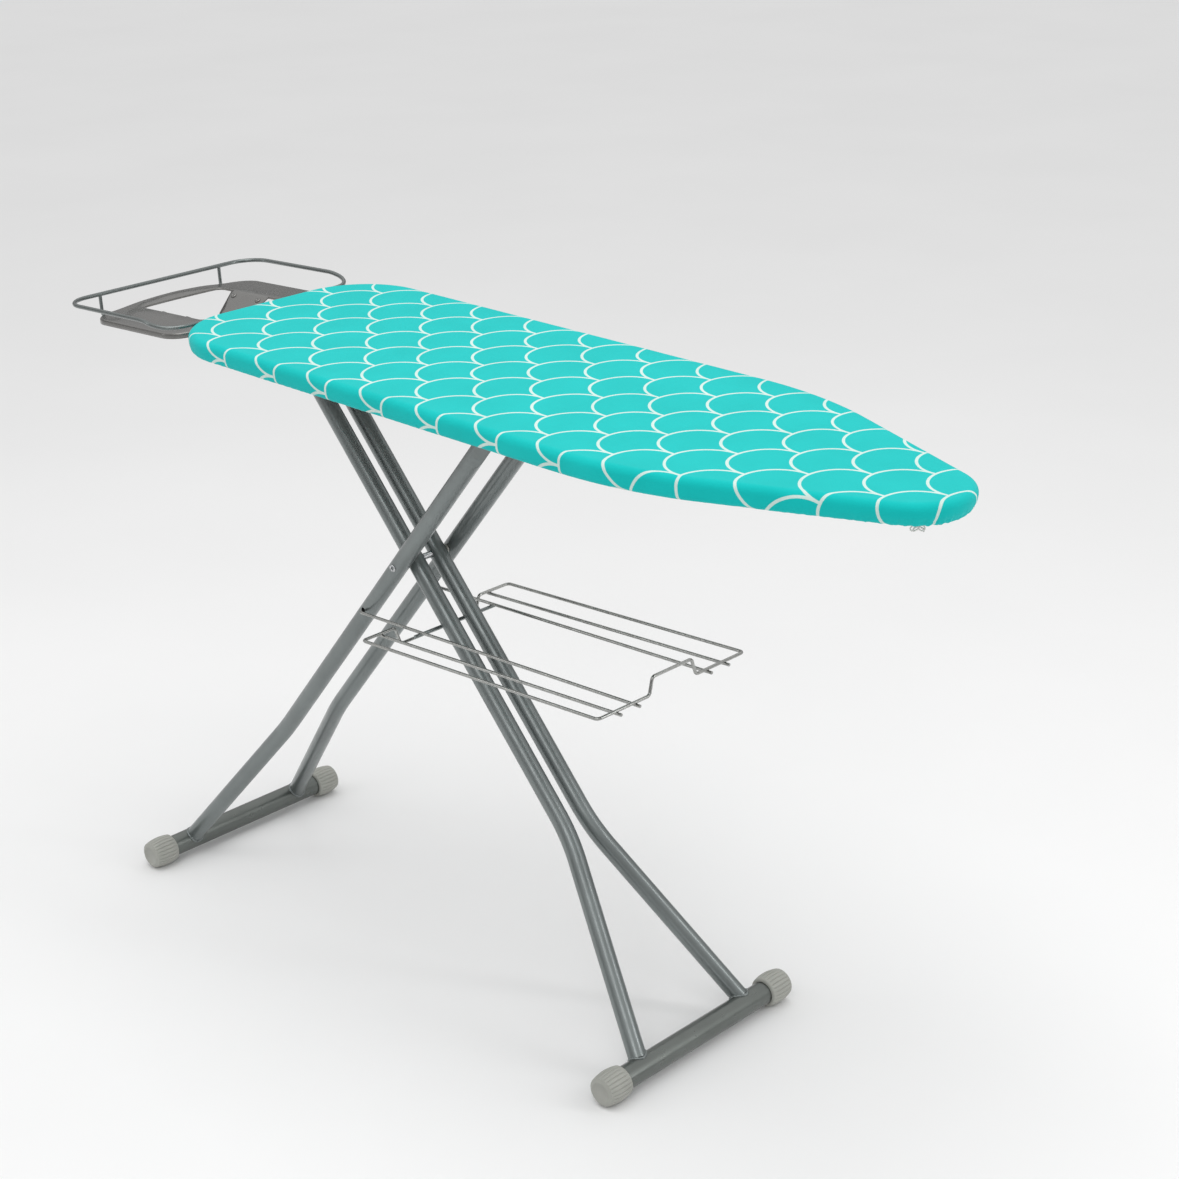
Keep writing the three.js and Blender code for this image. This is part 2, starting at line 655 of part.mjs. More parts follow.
// ---- legs ---------------------------------------------------------------------------------
// A leg is drawn along X with the cross axle at the origin; its foot is on the side of dir.
function legTube(name, dir, y, footY, upper, drills) {
  const route = rounded([
    vec(-dir * (upper + LEG_END), y, 0), vec(dir * LEG_BEND, y, 0), vec(dir * LEG_LOWER, footY, 0),
  ], 260, 4);
  const saddle = crossBar(dir * LEG_LOWER, 0, FOOT_BAR_RADIUS + GAP + 0.2, -200, 200, 16);
  const holes = drills.map(([x, radius, y0, y1]) => crossBar(x, 0, radius, y0, y1, 10));
  return piece(name, cut(pipe(route, TUBE_RADIUS, TUBE_WALL), saddle, ...holes), paint());
}

function footBar(name, x, length) {
  const half = length / 2 - 7;
  const bar = washer(x, 0, FOOT_BAR_RADIUS - 1.5, FOOT_BAR_RADIUS, -half, half, 20);
  return piece(name, bar, paint());
}

// Barrel-shaped end cap. The open end faces the middle of the foot bar.
function footCap(name, x, length, side, turn) {
  const end = length / 2;
  const bore = FOOT_BAR_RADIUS + GAP;
  const profile = [
    [0, end], [15.5, end], [19.8, end - 4], [CAP_RADIUS, end - 14], [CAP_RADIUS, end - CAP_LENGTH + 14],
    [19.6, end - CAP_LENGTH], [bore, end - CAP_LENGTH], [bore, end - 6], [0, end - 6],
  ];
  const body = turned(profile.reverse(), 20).rotateY(turn + Math.PI / 20);
  if (side < 0) body.rotateX(Math.PI);
  return piece(name, body.translate(x, 0, 0), cap());
}

function innerLeg() {
  const group = new THREE.Group();
  group.position.set(0, 0, AXLE_Z);
  group.rotation.y = LEG_ANGLE;
  const drills = [[0, AXLE_RADIUS + GAP], [-INNER_UPPER, TOP_ROD_RADIUS + GAP]].map(([x, r]) => [x, r, -60, 60]);
  for (const [hand, side] of sides) {
    group.add(legTube(`inner_tube_${hand}`, 1, side * INNER_Y, side * INNER_SPREAD, INNER_UPPER, drills));
    group.add(footCap(`inner_cap_${hand}`, LEG_LOWER, INNER_FOOT_LENGTH, side, side * LEG_ANGLE));
    const inner = side * (INNER_Y + TUBE_RADIUS + GAP);
    const outer = side * (OUTER_Y - TUBE_RADIUS - GAP);
    const spacer = washer(0, 0, AXLE_RADIUS + GAP, 6.5, Math.min(inner, outer), Math.max(inner, outer));
    group.add(piece(`axle_spacer_${hand}`, spacer, cap()));
  }
  group.add(footBar('inner_foot_bar', LEG_LOWER, INNER_FOOT_LENGTH));
  const topRod = crossBar(-INNER_UPPER, 0, TOP_ROD_RADIUS, -46, 46);
  group.add(piece('inner_top_rod', topRod, steel()));
  const sleeveHalf = INNER_Y - TUBE_RADIUS - GAP;
  const sleeve = washer(0, 0, AXLE_RADIUS + GAP, 4.6, -sleeveHalf, sleeveHalf);
  group.add(piece('axle_sleeve', sleeve, steel()));
  const head = OUTER_Y + TUBE_RADIUS + GAP;
  const axle = turned([
    [0, -head - 1.6], [4.6, -head - 1.6], [5.4, -head], [AXLE_RADIUS, -head], [AXLE_RADIUS, head], [5.4, head],
    [4.6, head + 1.6], [0, head + 1.6],
  ]);
  group.add(piece('cross_axle', axle, steel()));
  group.add(piece('rack_rest_rod', restRod(), paint()));
  return group;
}

const REST_OFFSET = TUBE_RADIUS + REST_ROD_RADIUS + GAP;

// The rack's inner wires lie on this rod, which is welded under the inner tubes.
function restRod() {
  const hookX = -RACK_HOOK * Math.cos(LEG_ANGLE);
  const hookZ = -RACK_HOOK * Math.sin(LEG_ANGLE);
  const drop = RACK_WIRE + REST_ROD_RADIUS + 0.6;
  const slope = Math.tan(RACK_TILT) - 4.7 / RACK_LENGTH;
  const sin = Math.sin(LEG_ANGLE);
  const cos = Math.cos(LEG_ANGLE);
  // The rod's height equals the wire's height less the drop: solved for the distance along the leg.
  const along = (-hookZ - REST_OFFSET * cos + drop - slope * (-REST_OFFSET * sin - hookX)) / (sin + slope * cos);
  return crossBar(along, -REST_OFFSET, REST_ROD_RADIUS, -74, 74, 12);
}

function outerLeg() {
  const group = new THREE.Group();
  group.position.set(0, 0, AXLE_Z);
  group.rotation.y = -LEG_ANGLE;
  const axleHole = [0, AXLE_RADIUS + GAP, -80, 80];
  const rodHole = [OUTER_UPPER, TOP_ROD_RADIUS + GAP, -80, 80];
  for (const [hand, side] of sides) {
    const hookFrom = side > 0 ? OUTER_Y : -80;
    const hookHole = [-RACK_HOOK, RACK_WIRE + GAP, hookFrom, hookFrom + 80 - OUTER_Y];
    const drills = [axleHole, rodHole, hookHole];
    group.add(legTube(`outer_tube_${hand}`, -1, side * OUTER_Y, side * OUTER_SPREAD, OUTER_UPPER, drills));
    group.add(footCap(`outer_cap_${hand}`, -LEG_LOWER, OUTER_FOOT_LENGTH, side, -side * LEG_ANGLE));
    group.add(slider(`slider_${hand}`, side), rodCap(`rod_cap_${hand}`, side));
  }
  group.add(footBar('outer_foot_bar', -LEG_LOWER, OUTER_FOOT_LENGTH));
  group.add(piece('outer_top_rod', crossBar(OUTER_UPPER, 0, TOP_ROD_RADIUS, -82, 82), steel()));
  return group;
}

// Flanged nylon bush that runs in the slide rail's slot.
function slider(name, side) {
  const bore = TOP_ROD_RADIUS + GAP;
  const web = RAIL_Y - EAR_SHEET / 2;
  const body = turned([
    [bore, web - 3.5], [10, web - 3.5], [10, web - 0.6], [6.2, web - 0.6], [6.2, web + 3], [bore, web + 3],
    [bore, web - 3.5],
  ]);
  if (side < 0) body.rotateX(Math.PI);
  return piece(name, body.translate(OUTER_UPPER, 0, 0), black());
}

function rodCap(name, side) {
  const bore = TOP_ROD_RADIUS + GAP;
  const body = turned([
    [bore, 76.5], [10, 76.5], [10, 78], [7.5, 79], [7.5, 84], [0, 84], [0, 82 + GAP], [bore, 82 + GAP], [bore, 76.5],
  ]);
  if (side < 0) body.rotateX(Math.PI);
  return piece(name, body.translate(OUTER_UPPER, 0, 0), black());
}

// ---- wire rack ----------------------------------------------------------------------------
// Drawn about the hook line, with X along the rack towards the nose.
function rackFrame() {
  const half = RACK_HALF_WIDTH;
  const dip = -25; // the heel-end wire passes under the legs
  const hump = 23; // the nose-end wire passes over the inner leg when folded
  const corners = rounded([
    vec(RACK_HEEL, half, 0), vec(RACK_HEEL, 78, 0), vec(RACK_HEEL, 70, dip), vec(RACK_HEEL, -70, dip),
    vec(RACK_HEEL, -78, 0), vec(RACK_HEEL, -half, 0), vec(RACK_LENGTH, -half, 0), vec(RACK_LENGTH, -43, 0),
    vec(RACK_LENGTH, -36, hump), vec(RACK_LENGTH, 36, hump), vec(RACK_LENGTH, 43, 0), vec(RACK_LENGTH, half, 0),
  ], 6, 3, true);
  return piece('rack_frame', loopWire(corners, RACK_WIRE, 8), wire());
}

const RACK_BELOW = -2 * RACK_WIRE - GAP; // the long wires are welded under the frame

function rackOuterWire(name, side) {
  const y = side * RACK_OUTER_Y;
  const route = [vec(RACK_HEEL - 6, y, RACK_BELOW), vec(RACK_LENGTH + 6, y, RACK_BELOW)];
  return piece(name, rod(route, RACK_WIRE, 8), wire());
}

function rackInnerWire(name, side) {
  const y = side * RACK_INNER_Y;
  const route = rounded([
    vec(0, side * (OUTER_Y + 3), 0), vec(0, y, 0), vec(RACK_LENGTH + 6, y, RACK_BELOW),
  ], 4.5, 4);
  return piece(name, rod(route, RACK_WIRE, 8), wire());
}

function rack() {
  const group = new THREE.Group();
  const cos = Math.cos(LEG_ANGLE);
  const sin = Math.sin(LEG_ANGLE);
  group.position.set(-RACK_HOOK * cos, 0, AXLE_Z - RACK_HOOK * sin);
  group.rotation.y = -RACK_TILT;
  group.add(rackFrame());
  for (const [hand, side] of sides) {
    group.add(rackInnerWire(`rack_hook_wire_${hand}`, side), rackOuterWire(`rack_wire_${hand}`, side));
  }
  return group;
}

// ---- assembly -----------------------------------------------------------------------------
const group = new THREE.Group();
group.add(board(), innerLeg(), outerLeg(), rack());
group.updateMatrixWorld(true);
const footprint = new THREE.Box3().setFromObject(group, true);
group.position.x = -(footprint.min.x + footprint.max.x) / 2;
group.updateMatrixWorld(true);

export default group;
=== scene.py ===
"""Folding ironing board: looks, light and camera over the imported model."""
import math
import random

import bmesh
import bpy
from mathutils import Matrix, Vector
from mathutils.geometry import delaunay_2d_cdt


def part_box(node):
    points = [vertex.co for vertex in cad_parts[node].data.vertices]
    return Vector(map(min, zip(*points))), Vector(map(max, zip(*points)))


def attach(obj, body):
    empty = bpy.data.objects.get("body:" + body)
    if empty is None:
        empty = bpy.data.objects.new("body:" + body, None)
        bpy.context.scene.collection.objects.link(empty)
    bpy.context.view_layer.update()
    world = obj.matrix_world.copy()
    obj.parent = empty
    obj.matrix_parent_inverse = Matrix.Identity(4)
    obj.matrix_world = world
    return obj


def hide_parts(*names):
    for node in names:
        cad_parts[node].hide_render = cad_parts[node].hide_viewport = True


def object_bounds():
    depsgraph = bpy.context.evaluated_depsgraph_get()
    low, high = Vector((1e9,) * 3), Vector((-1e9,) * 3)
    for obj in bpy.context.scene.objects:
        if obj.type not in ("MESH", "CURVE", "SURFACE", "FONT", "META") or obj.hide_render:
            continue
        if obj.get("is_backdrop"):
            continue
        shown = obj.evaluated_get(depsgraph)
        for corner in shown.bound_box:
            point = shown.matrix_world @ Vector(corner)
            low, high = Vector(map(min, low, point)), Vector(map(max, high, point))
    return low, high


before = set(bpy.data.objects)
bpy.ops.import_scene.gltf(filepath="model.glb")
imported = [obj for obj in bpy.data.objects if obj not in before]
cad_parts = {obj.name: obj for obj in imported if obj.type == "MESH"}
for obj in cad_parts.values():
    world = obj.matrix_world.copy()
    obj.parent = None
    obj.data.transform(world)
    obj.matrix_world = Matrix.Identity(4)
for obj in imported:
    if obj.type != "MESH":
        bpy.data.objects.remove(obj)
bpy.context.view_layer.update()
scene = bpy.context.scene
scene.view_settings.view_transform = "Standard"
rand = random.Random(7)
MM = 0.001
TAU = 2 * math.pi
HANDS = (("left", 1), ("right", -1))

# ---- main sizes in millimetres, as in the CAD model --------------------------------------
BOARD_LENGTH = 1200
HALF_WIDTH = 187
HEEL_RADIUS = 108
NOSE_RADIUS = 74
TAPER = math.radians(22)
BLEND_RADIUS = 500
BOARD_TILT = math.radians(1.12)
HEEL_X = -88.5
COVER_TOP = 42
SKIRT = 29
HEM = 15
DECK_TOP = 35.4
PAD_TOP = 40.7
SHEET_INSET = 2.5
LEG_ANGLE = math.radians(49.35)
LEG_LOWER = 738
LEG_BEND = 431
LEG_END = 14
INNER_UPPER = 347.7
OUTER_UPPER = INNER_UPPER * math.sin(LEG_ANGLE - BOARD_TILT) / math.sin(LEG_ANGLE + BOARD_TILT)
SLIDE_X = INNER_UPPER * math.cos(LEG_ANGLE - BOARD_TILT) + OUTER_UPPER * math.cos(LEG_ANGLE + BOARD_TILT)
TUBE = 12.5
INNER_Y, OUTER_Y = 20.5, 49
SPREAD = 104
FOOT_BAR = 16
CAP_LENGTH = 41
RING_LENGTH = 243.7
RING_HALF = 169.5
RING_TILT = math.radians(3.06)
RING_DIP = 9
RING_DIP_RUN = 60
PLATE_DROP = 21
RACK_TILT = math.radians(2.14)
RACK_HOOK = 107
RACK_HEEL = 85.6
RACK_LENGTH = 523.3
RACK_HALF = 135
RACK_WIRE = 2.2
LEVER_X = SLIDE_X - 54
LEVER_Z = 17
LEVER_LIFT = math.radians(7.5)
LEVER_GRIP_Y = -150
LEVER_ROD = 4
RING_WIRE = 3
SUPPORT_WIRE = 2.5
SUPPORT_Y = 107

# ---- sizes of the finer details, in millimetres ------------------------------------------
CORD_RADIUS = 1.3
LOOP_CORD = 0.85
TAIL_CORD = 0.95
STEAM_HOLE = 5.2
STEAM_PITCH_X, STEAM_PITCH_Y = 23, 20
TUBE_WALL = 1.2
HOOK_HOLE = 4.0
HOOK_HOLE_LIFT = 1.6
PLATE_SHEET = 1.3
DECK_SHEET = 1.0

# ---- floor and camera: places in metres, the lens in millimetres -------------------------
FLOOR_HALF = 40
CAMERA_OFFSET_X, CAMERA_Y, CAMERA_Z = 2.2386, -1.9354, 1.7022
FOCAL_LENGTH = 2308.7 / 1179 * 36
SENSOR_WIDTH = 36
LOOK_AT = (0, 0, 0.5)


def middle(node):
    low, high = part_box(node)
    return (low + high) / 2


PIVOT = middle("inner_top_rod")
AXLE = middle("cross_axle")
BOARD = Matrix.Translation(PIVOT) @ Matrix.Rotation(BOARD_TILT, 4, "Y") @ Matrix.Scale(MM, 4)
REST = BOARD @ Matrix.Translation((HEEL_X - 4, 0, COVER_TOP - 0.2)) @ Matrix.Rotation(-RING_TILT, 4, "Y")
LEVER = BOARD @ Matrix.Translation((LEVER_X, 0, LEVER_Z)) @ Matrix.Rotation(-LEVER_LIFT, 4, "Y")
INNER = Matrix.Translation(AXLE) @ Matrix.Rotation(LEG_ANGLE, 4, "Y") @ Matrix.Scale(MM, 4)
OUTER = Matrix.Translation(AXLE) @ Matrix.Rotation(-LEG_ANGLE, 4, "Y") @ Matrix.Scale(MM, 4)
HOOK = AXLE - Vector((math.cos(LEG_ANGLE), 0, math.sin(LEG_ANGLE))) * RACK_HOOK * MM
RACK = Matrix.Translation(HOOK) @ Matrix.Rotation(-RACK_TILT, 4, "Y") @ Matrix.Scale(MM, 4)

# ---- camera ------------------------------------------------------------------------------
YAW, PITCH, ROLL = math.radians(44.87), math.radians(21.75), math.radians(-1.85)
back = Vector((math.sin(YAW) * math.cos(PITCH), -math.cos(YAW) * math.cos(PITCH), math.sin(PITCH)))
right = Vector((math.cos(YAW), math.sin(YAW), 0))
up = back.cross(right)
turned_right = right * math.cos(ROLL) + up * math.sin(ROLL)
turned_up = up * math.cos(ROLL) - right * math.sin(ROLL)
camera = bpy.data.objects.new("camera", bpy.data.cameras.new("camera"))
scene.collection.objects.link(camera)
camera.data.lens = FOCAL_LENGTH
camera.data.sensor_width = SENSOR_WIDTH
camera.data.clip_end = 100
spin = Matrix((turned_right, turned_up, back)).transposed().to_4x4()
camera.matrix_world = Matrix.Translation((AXLE.x + CAMERA_OFFSET_X, CAMERA_Y, CAMERA_Z)) @ spin
scene.camera = camera


# ---- node materials ----------------------------------------------------------------------
class Shade:
    """A small helper that builds a material's node tree."""

    def __init__(self, name, **sockets):
        self.material = bpy.data.materials.new(name)
        self.material.use_nodes = True
        self.tree = self.material.node_tree
        self.shader = self.tree.nodes["Principled BSDF"]
        for key, value in sockets.items():
            self.shader.inputs[key.replace("_", " ")].default_value = value

    def node(self, kind, inputs=None, **settings):
        made = self.tree.nodes.new("ShaderNode" + kind)
        for key, value in settings.items():
            setattr(made, key, value)
        for key, value in (inputs or {}).items():
            self.put(made.inputs[key], value)
        return made

    def put(self, socket, value):
        if isinstance(value, bpy.types.NodeSocket):
            self.tree.links.new(value, socket)
        else:
            socket.default_value = value

    def math(self, operation, a, b=0.0, c=0.0):
        made = self.node("Math", {0: a, 1: b, 2: c}, operation=operation)
        return made.outputs[0]

    def noise(self, where, scale, detail=3.0, rough=0.5):
        made = self.node("TexNoise", {"Vector": where, "Scale": scale, "Detail": detail, "Roughness": rough})
        return made.outputs["Fac"]

    def place(self, name="Object"):
        return self.node("TexCoord").outputs[name]

    def stretch(self, where, scale):
        return self.node("Mapping", {"Vector": where, "Scale": scale}).outputs[0]

    def span(self, value, low, high, to_low, to_high, smooth=False):
        made = self.node("MapRange", {0: value, 1: low, 2: high, 3: to_low, 4: to_high})
        made.interpolation_type = "SMOOTHSTEP" if smooth else "LINEAR"
        return made.outputs[0]

    def blend(self, fac, a, b):
        made = self.node("Mix", data_type="RGBA")
        self.put(made.inputs[0], fac)
        self.put(made.inputs[6], a)
        self.put(made.inputs[7], b)
        return made.outputs[2]

    def bump(self, height, strength, distance):
        made = self.node("Bump", {"Height": height, "Strength": strength, "Distance": distance})
        self.put(self.shader.inputs["Normal"], made.outputs[0])

    def set(self, **sockets):
        for key, value in sockets.items():
            self.put(self.shader.inputs[key.replace("_", " ")], value)


def grey_coat(name, colour, roughness, metallic, coat, grain=1.0):
    """Fine metallic powder coat, with orange peel and a little rubbing."""
    m = Shade(name, Metallic=metallic, Coat_Weight=0.4, Coat_Roughness=coat)
    where = m.place()
    cloudy = m.noise(where, 9.0, 2.0)
    flakes = m.noise(where, 2600.0, 1.0)
    dark = tuple(c * (1 - 0.14 * grain) for c in colour[:3]) + (1,)
    light = tuple(c * (1 + 0.14 * grain) for c in colour[:3]) + (1,)
    tone = m.math("ADD", m.math("MULTIPLY", cloudy, 0.6), m.math("MULTIPLY", flakes, 0.4))
    m.set(Base_Color=m.blend(m.span(tone, 0.35, 0.65, 0, 1), dark, light))
    m.set(Roughness=m.span(m.noise(where, 60.0), 0.3, 0.7, roughness - 0.06, roughness + 0.08))
    m.bump(m.noise(where, 420.0, 1.0), 0.10 * grain, 0.0001)
    return m.material


def bright_metal(name, colour, roughness, streaks=(40, 40, 40)):
    m = Shade(name, Metallic=1.0)
    where = m.place()
    wear = m.noise(m.stretch(where, streaks), 6.0, 4.0, 0.6)
    dull = tuple(c * 0.72 for c in colour[:3]) + (1,)
    m.set(Base_Color=m.blend(m.span(wear, 0.3, 0.75, 0, 1), colour, dull))
    m.set(Roughness=m.span(wear, 0.3, 0.75, roughness - 0.05, roughness + 0.12))
    m.bump(m.noise(where, 1400.0, 2.0), 0.12, 0.00008)
    return m.material


def moulded(name, colour, roughness=0.5):
    m = Shade(name, Specular_IOR_Level=0.4)
    where = m.place()
    dark = tuple(c * 0.84 for c in colour[:3]) + (1,)
    m.set(Base_Color=m.blend(m.span(m.noise(where, 25.0, 4.0), 0.3, 0.7, 0, 1), dark, colour))
    m.set(Roughness=m.span(m.noise(where, 120.0), 0.3, 0.7, roughness - 0.06, roughness + 0.08))
    m.bump(m.noise(where, 1800.0, 3.0), 0.35, 0.0001)
    return m.material


def felt():
    m = Shade("felt", Roughness=0.95, Sheen_Weight=0.3)
    where = m.place()
    fibres = m.noise(where, 700.0, 6.0, 0.7)
    m.set(Base_Color=m.blend(fibres, (0.5, 0.47, 0.41, 1), (0.86, 0.84, 0.78, 1)))
    m.bump(fibres, 0.8, 0.0006)
    return m.material


def cord_white():
    m = Shade("cord", Roughness=0.85, Sheen_Weight=0.2)
    where = m.place("UV")
    twist = m.node("TexWave", {"Vector": where, "Scale": 1.0, "Distortion": 0.4}, bands_direction="DIAGONAL")
    m.set(Base_Color=m.blend(twist.outputs["Fac"], (0.72, 0.72, 0.69, 1), (0.95, 0.95, 0.92, 1)))
    m.bump(twist.outputs["Fac"], 0.6, 0.0004)
    return m.material


# Scallop print: the cloth's UVs are its flat pattern in metres, from the heel edge and the middle.
ROW = 0.0517
SCALE_WIDTH = 0.09554
FIRST_ROW = 0.0425
FIRST_COLUMN = 0.0389
LINE_HALF = 0.0018
THREAD_PITCH = 0.0011
PRINT_DRIFT = 0.010


def cotton():
    m = Shade("cotton", Roughness=0.85, Sheen_Weight=0.08, Sheen_Roughness=0.5, Specular_IOR_Level=0.12)
    where = m.place("UV")
    warp = m.node("TexNoise", {"Vector": where, "Scale": 7.0, "Detail": 1.0})
    shift = m.node("VectorMath", {0: warp.outputs["Color"], 1: (0.5, 0.5, 0.5)}, operation="SUBTRACT")
    small = m.node("VectorMath", {0: shift.outputs[0], "Scale": PRINT_DRIFT}, operation="SCALE")
    moved = m.node("VectorMath", {0: where, 1: small.outputs[0]}, operation="ADD")
    split = m.node("SeparateXYZ", {0: moved.outputs[0]})
    u = m.math("SUBTRACT", split.outputs[0], FIRST_ROW)
    v = m.math("SUBTRACT", split.outputs[1], FIRST_COLUMN)
    radius = SCALE_WIDTH / 2
    row = m.math("FLOOR", m.math("DIVIDE", m.math("ADD", u, radius), ROW))

    def line(k):
        """How far a point lies from row k's scallop line: an arc, then straight sides."""
        du = m.math("SUBTRACT", u, m.math("MULTIPLY", k, ROW))
        odd = m.math("ABSOLUTE", m.math("MODULO", k, 2.0))
        shifted = m.math("SUBTRACT", v, m.math("MULTIPLY", odd, radius))
        column = m.math("ROUND", m.math("DIVIDE", shifted, SCALE_WIDTH))
        dv = m.math("SUBTRACT", shifted, m.math("MULTIPLY", column, SCALE_WIDTH))
        away = m.math("SQRT", m.math("ADD", m.math("MULTIPLY", du, du), m.math("MULTIPLY", dv, dv)))
        arc = m.math("ABSOLUTE", m.math("SUBTRACT", away, radius))
        side = m.math("ABSOLUTE", m.math("SUBTRACT", radius, m.math("ABSOLUTE", dv)))
        past = m.math("GREATER_THAN", du, 0.0)
        beyond = m.math("GREATER_THAN", du, ROW - radius + 0.001)
        straight = m.math("MULTIPLY", past, side)
        curved = m.math("MULTIPLY", m.math("SUBTRACT", 1.0, past), arc)
        return m.math("ADD", m.math("ADD", straight, curved), beyond)

    near = m.math("MINIMUM", line(row), line(m.math("ADD", row, 1.0)))
    rough_edge = m.math("MULTIPLY", m.math("SUBTRACT", m.noise(where, 900.0, 1.0), 0.5), 0.0006)
    printed = m.span(m.math("ADD", near, rough_edge), LINE_HALF - 0.0004, LINE_HALF + 0.0004, 1, 0, True)
    weave_u = m.math("SINE", m.math("MULTIPLY", split.outputs[0], TAU / THREAD_PITCH))
    weave_v = m.math("SINE", m.math("MULTIPLY", split.outputs[1], TAU / THREAD_PITCH))
    weave = m.math("MULTIPLY", weave_u, weave_v)
    slubs = m.noise(m.stretch(where, (400, 4000, 1)), 1.0, 3.0)
    cloudy = m.noise(where, 14.0, 4.0)
    tone = m.math("ADD", m.math("MULTIPLY", slubs, 0.5), m.math("MULTIPLY", cloudy, 0.5))
    teal = m.blend(m.span(tone, 0.3, 0.7, 0, 1), (0.002, 0.475, 0.455, 1), (0.006, 0.545, 0.525, 1))
    pale = m.blend(m.span(tone, 0.3, 0.7, 0, 1), (0.54, 0.70, 0.65, 1), (0.68, 0.81, 0.76, 1))
    m.set(Base_Color=m.blend(printed, teal, pale))
    height = m.math("ADD", m.math("MULTIPLY", weave, 0.35), m.math("MULTIPLY", slubs, 0.8))
    m.bump(height, 0.35, 0.0002)
    return m.material


PAINT = grey_coat("grey_paint", (0.19, 0.212, 0.21, 1), 0.34, 0.6, 0.12)
WIRE_PAINT = grey_coat("grey_paint_wire", (0.16, 0.178, 0.175, 1), 0.26, 0.75, 0.08, 0.3)
GLOSS_PAINT = grey_coat("grey_paint_gloss", (0.175, 0.172, 0.165, 1), 0.24, 0.65, 0.05, 0.25)
BAR_PAINT = grey_coat("grey_paint_bars", (0.135, 0.148, 0.138, 1), 0.32, 0.7, 0.12)
WIRE = bright_metal("bright_wire", (0.42, 0.425, 0.41, 1), 0.24)
STEEL = bright_metal("plated_steel", (0.66, 0.67, 0.68, 1), 0.26)
CAP = moulded("grey_plastic", (0.40, 0.405, 0.37, 1), 0.5)
BLACK = moulded("black_plastic", (0.022, 0.023, 0.025, 1), 0.42)
FELT = felt()
COTTON = cotton()
CORD = cord_white()
FINISH = {"grey_paint": PAINT, "bright_wire": WIRE, "plated_steel": STEEL, "grey_plastic": CAP,
          "black_plastic": BLACK, "felt": FELT, "cotton": COTTON, "cord": CORD}


# ---- mesh helpers ------------------------------------------------------------------------
def piece(name, body, slot, nodes, points, faces, matrix, smooth=True, uvs=None, angle=38):
    """A mesh piece from points in one sub-frame, riding on a body and standing for CAD nodes."""
    mesh = bpy.data.meshes.new(name)
    mesh.from_pydata([matrix @ Vector(p) for p in points], [], faces)
    if uvs:
        layer = mesh.uv_layers.new(name="flat")
        for loop in mesh.loops:
            layer.data[loop.index].uv = uvs[loop.vertex_index]
    made = bpy.data.objects.new(name, mesh)
    scene.collection.objects.link(made)
    tidy_normals(made)
    mesh.materials.append(FINISH[slot])
    if smooth:
        mesh.shade_smooth()
        mesh.set_sharp_from_angle(angle=math.radians(angle))
    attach(made, body)
    if nodes:
        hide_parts(*nodes)
    return made


def tidy_normals(obj):
    work = bmesh.new()
    work.from_mesh(obj.data)
    bmesh.ops.remove_doubles(work, verts=work.verts, dist=1e-7)
    bmesh.ops.recalc_face_normals(work, faces=work.faces)
    work.to_mesh(obj.data)
    work.free()


def bevelled(obj, width, segments=2, angle=35):
    """Rounds a piece's sharp edges for good."""
    add = obj.modifiers.new("round", "BEVEL")
    add.width = width
    add.segments = segments
    add.limit_method = "ANGLE"
    add.angle_limit = math.radians(angle)
    add.harden_normals = False
    return settled(obj)


def settled(obj):
    """Applies the piece's modifiers, so the mesh itself carries the shape."""
    graph = bpy.context.evaluated_depsgraph_get()
    mesh = bpy.data.meshes.new_from_object(obj.evaluated_get(graph))
    obj.modifiers.clear()
    obj.data = mesh
    return obj


def thickened(obj, thickness):
    """Gives a single-sided sheet its thickness below its upward face."""
    if obj.data.polygons[0].normal.z < 0:
        obj.data.flip_normals()
    add = obj.modifiers.new("thick", "SOLIDIFY")
    add.thickness = thickness * MM
    add.offset = -1
    settled(obj)


def softened(node, body, slot, width=0.0004, angle=35):
    """The CAD node's own shape, with its edges eased as folded or pressed steel has them."""
    source = bpy.data.objects[node]
    mesh = source.data.copy()
    made = bpy.data.objects.new(node + "_eased", mesh)
    scene.collection.objects.link(made)
    tidy_normals(made)
    work = bmesh.new()
    work.from_mesh(mesh)
    bmesh.ops.dissolve_limit(work, angle_limit=math.radians(1), verts=work.verts, edges=work.edges)
    work.to_mesh(mesh)
    work.free()
    mesh.materials.clear()
    mesh.materials.append(FINISH[slot])
    bevelled(made, width, 2, angle)
    made.data.shade_smooth()
    made.data.set_sharp_from_angle(angle=math.radians(30))
    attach(made, body)
    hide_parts(node)
    return made


def rounded(corners, radius, steps, closed=False):
    """A line through corner points with its corners rounded off."""
    points = []
    count = len(corners)
    for i, here in enumerate(corners):
        here = Vector(here)
        if not closed and i in (0, count - 1):
            points.append(here)
            continue
        back_way = (Vector(corners[i - 1]) - here).normalized()
        ahead = (Vector(corners[(i + 1) % count]) - here).normalized()
        half = back_way.angle(ahead) / 2
        centre = here + (back_way + ahead).normalized() * radius / math.sin(half)
        reach = radius / math.tan(half)
        first = here + back_way * reach - centre
        last = here + ahead * reach - centre
        turn = first.angle(last)
        for k in range(steps + 1):
            t = k / steps
            mixed = first * math.sin((1 - t) * turn) + last * math.sin(t * turn)
            points.append(centre + mixed / math.sin(turn))
    return points


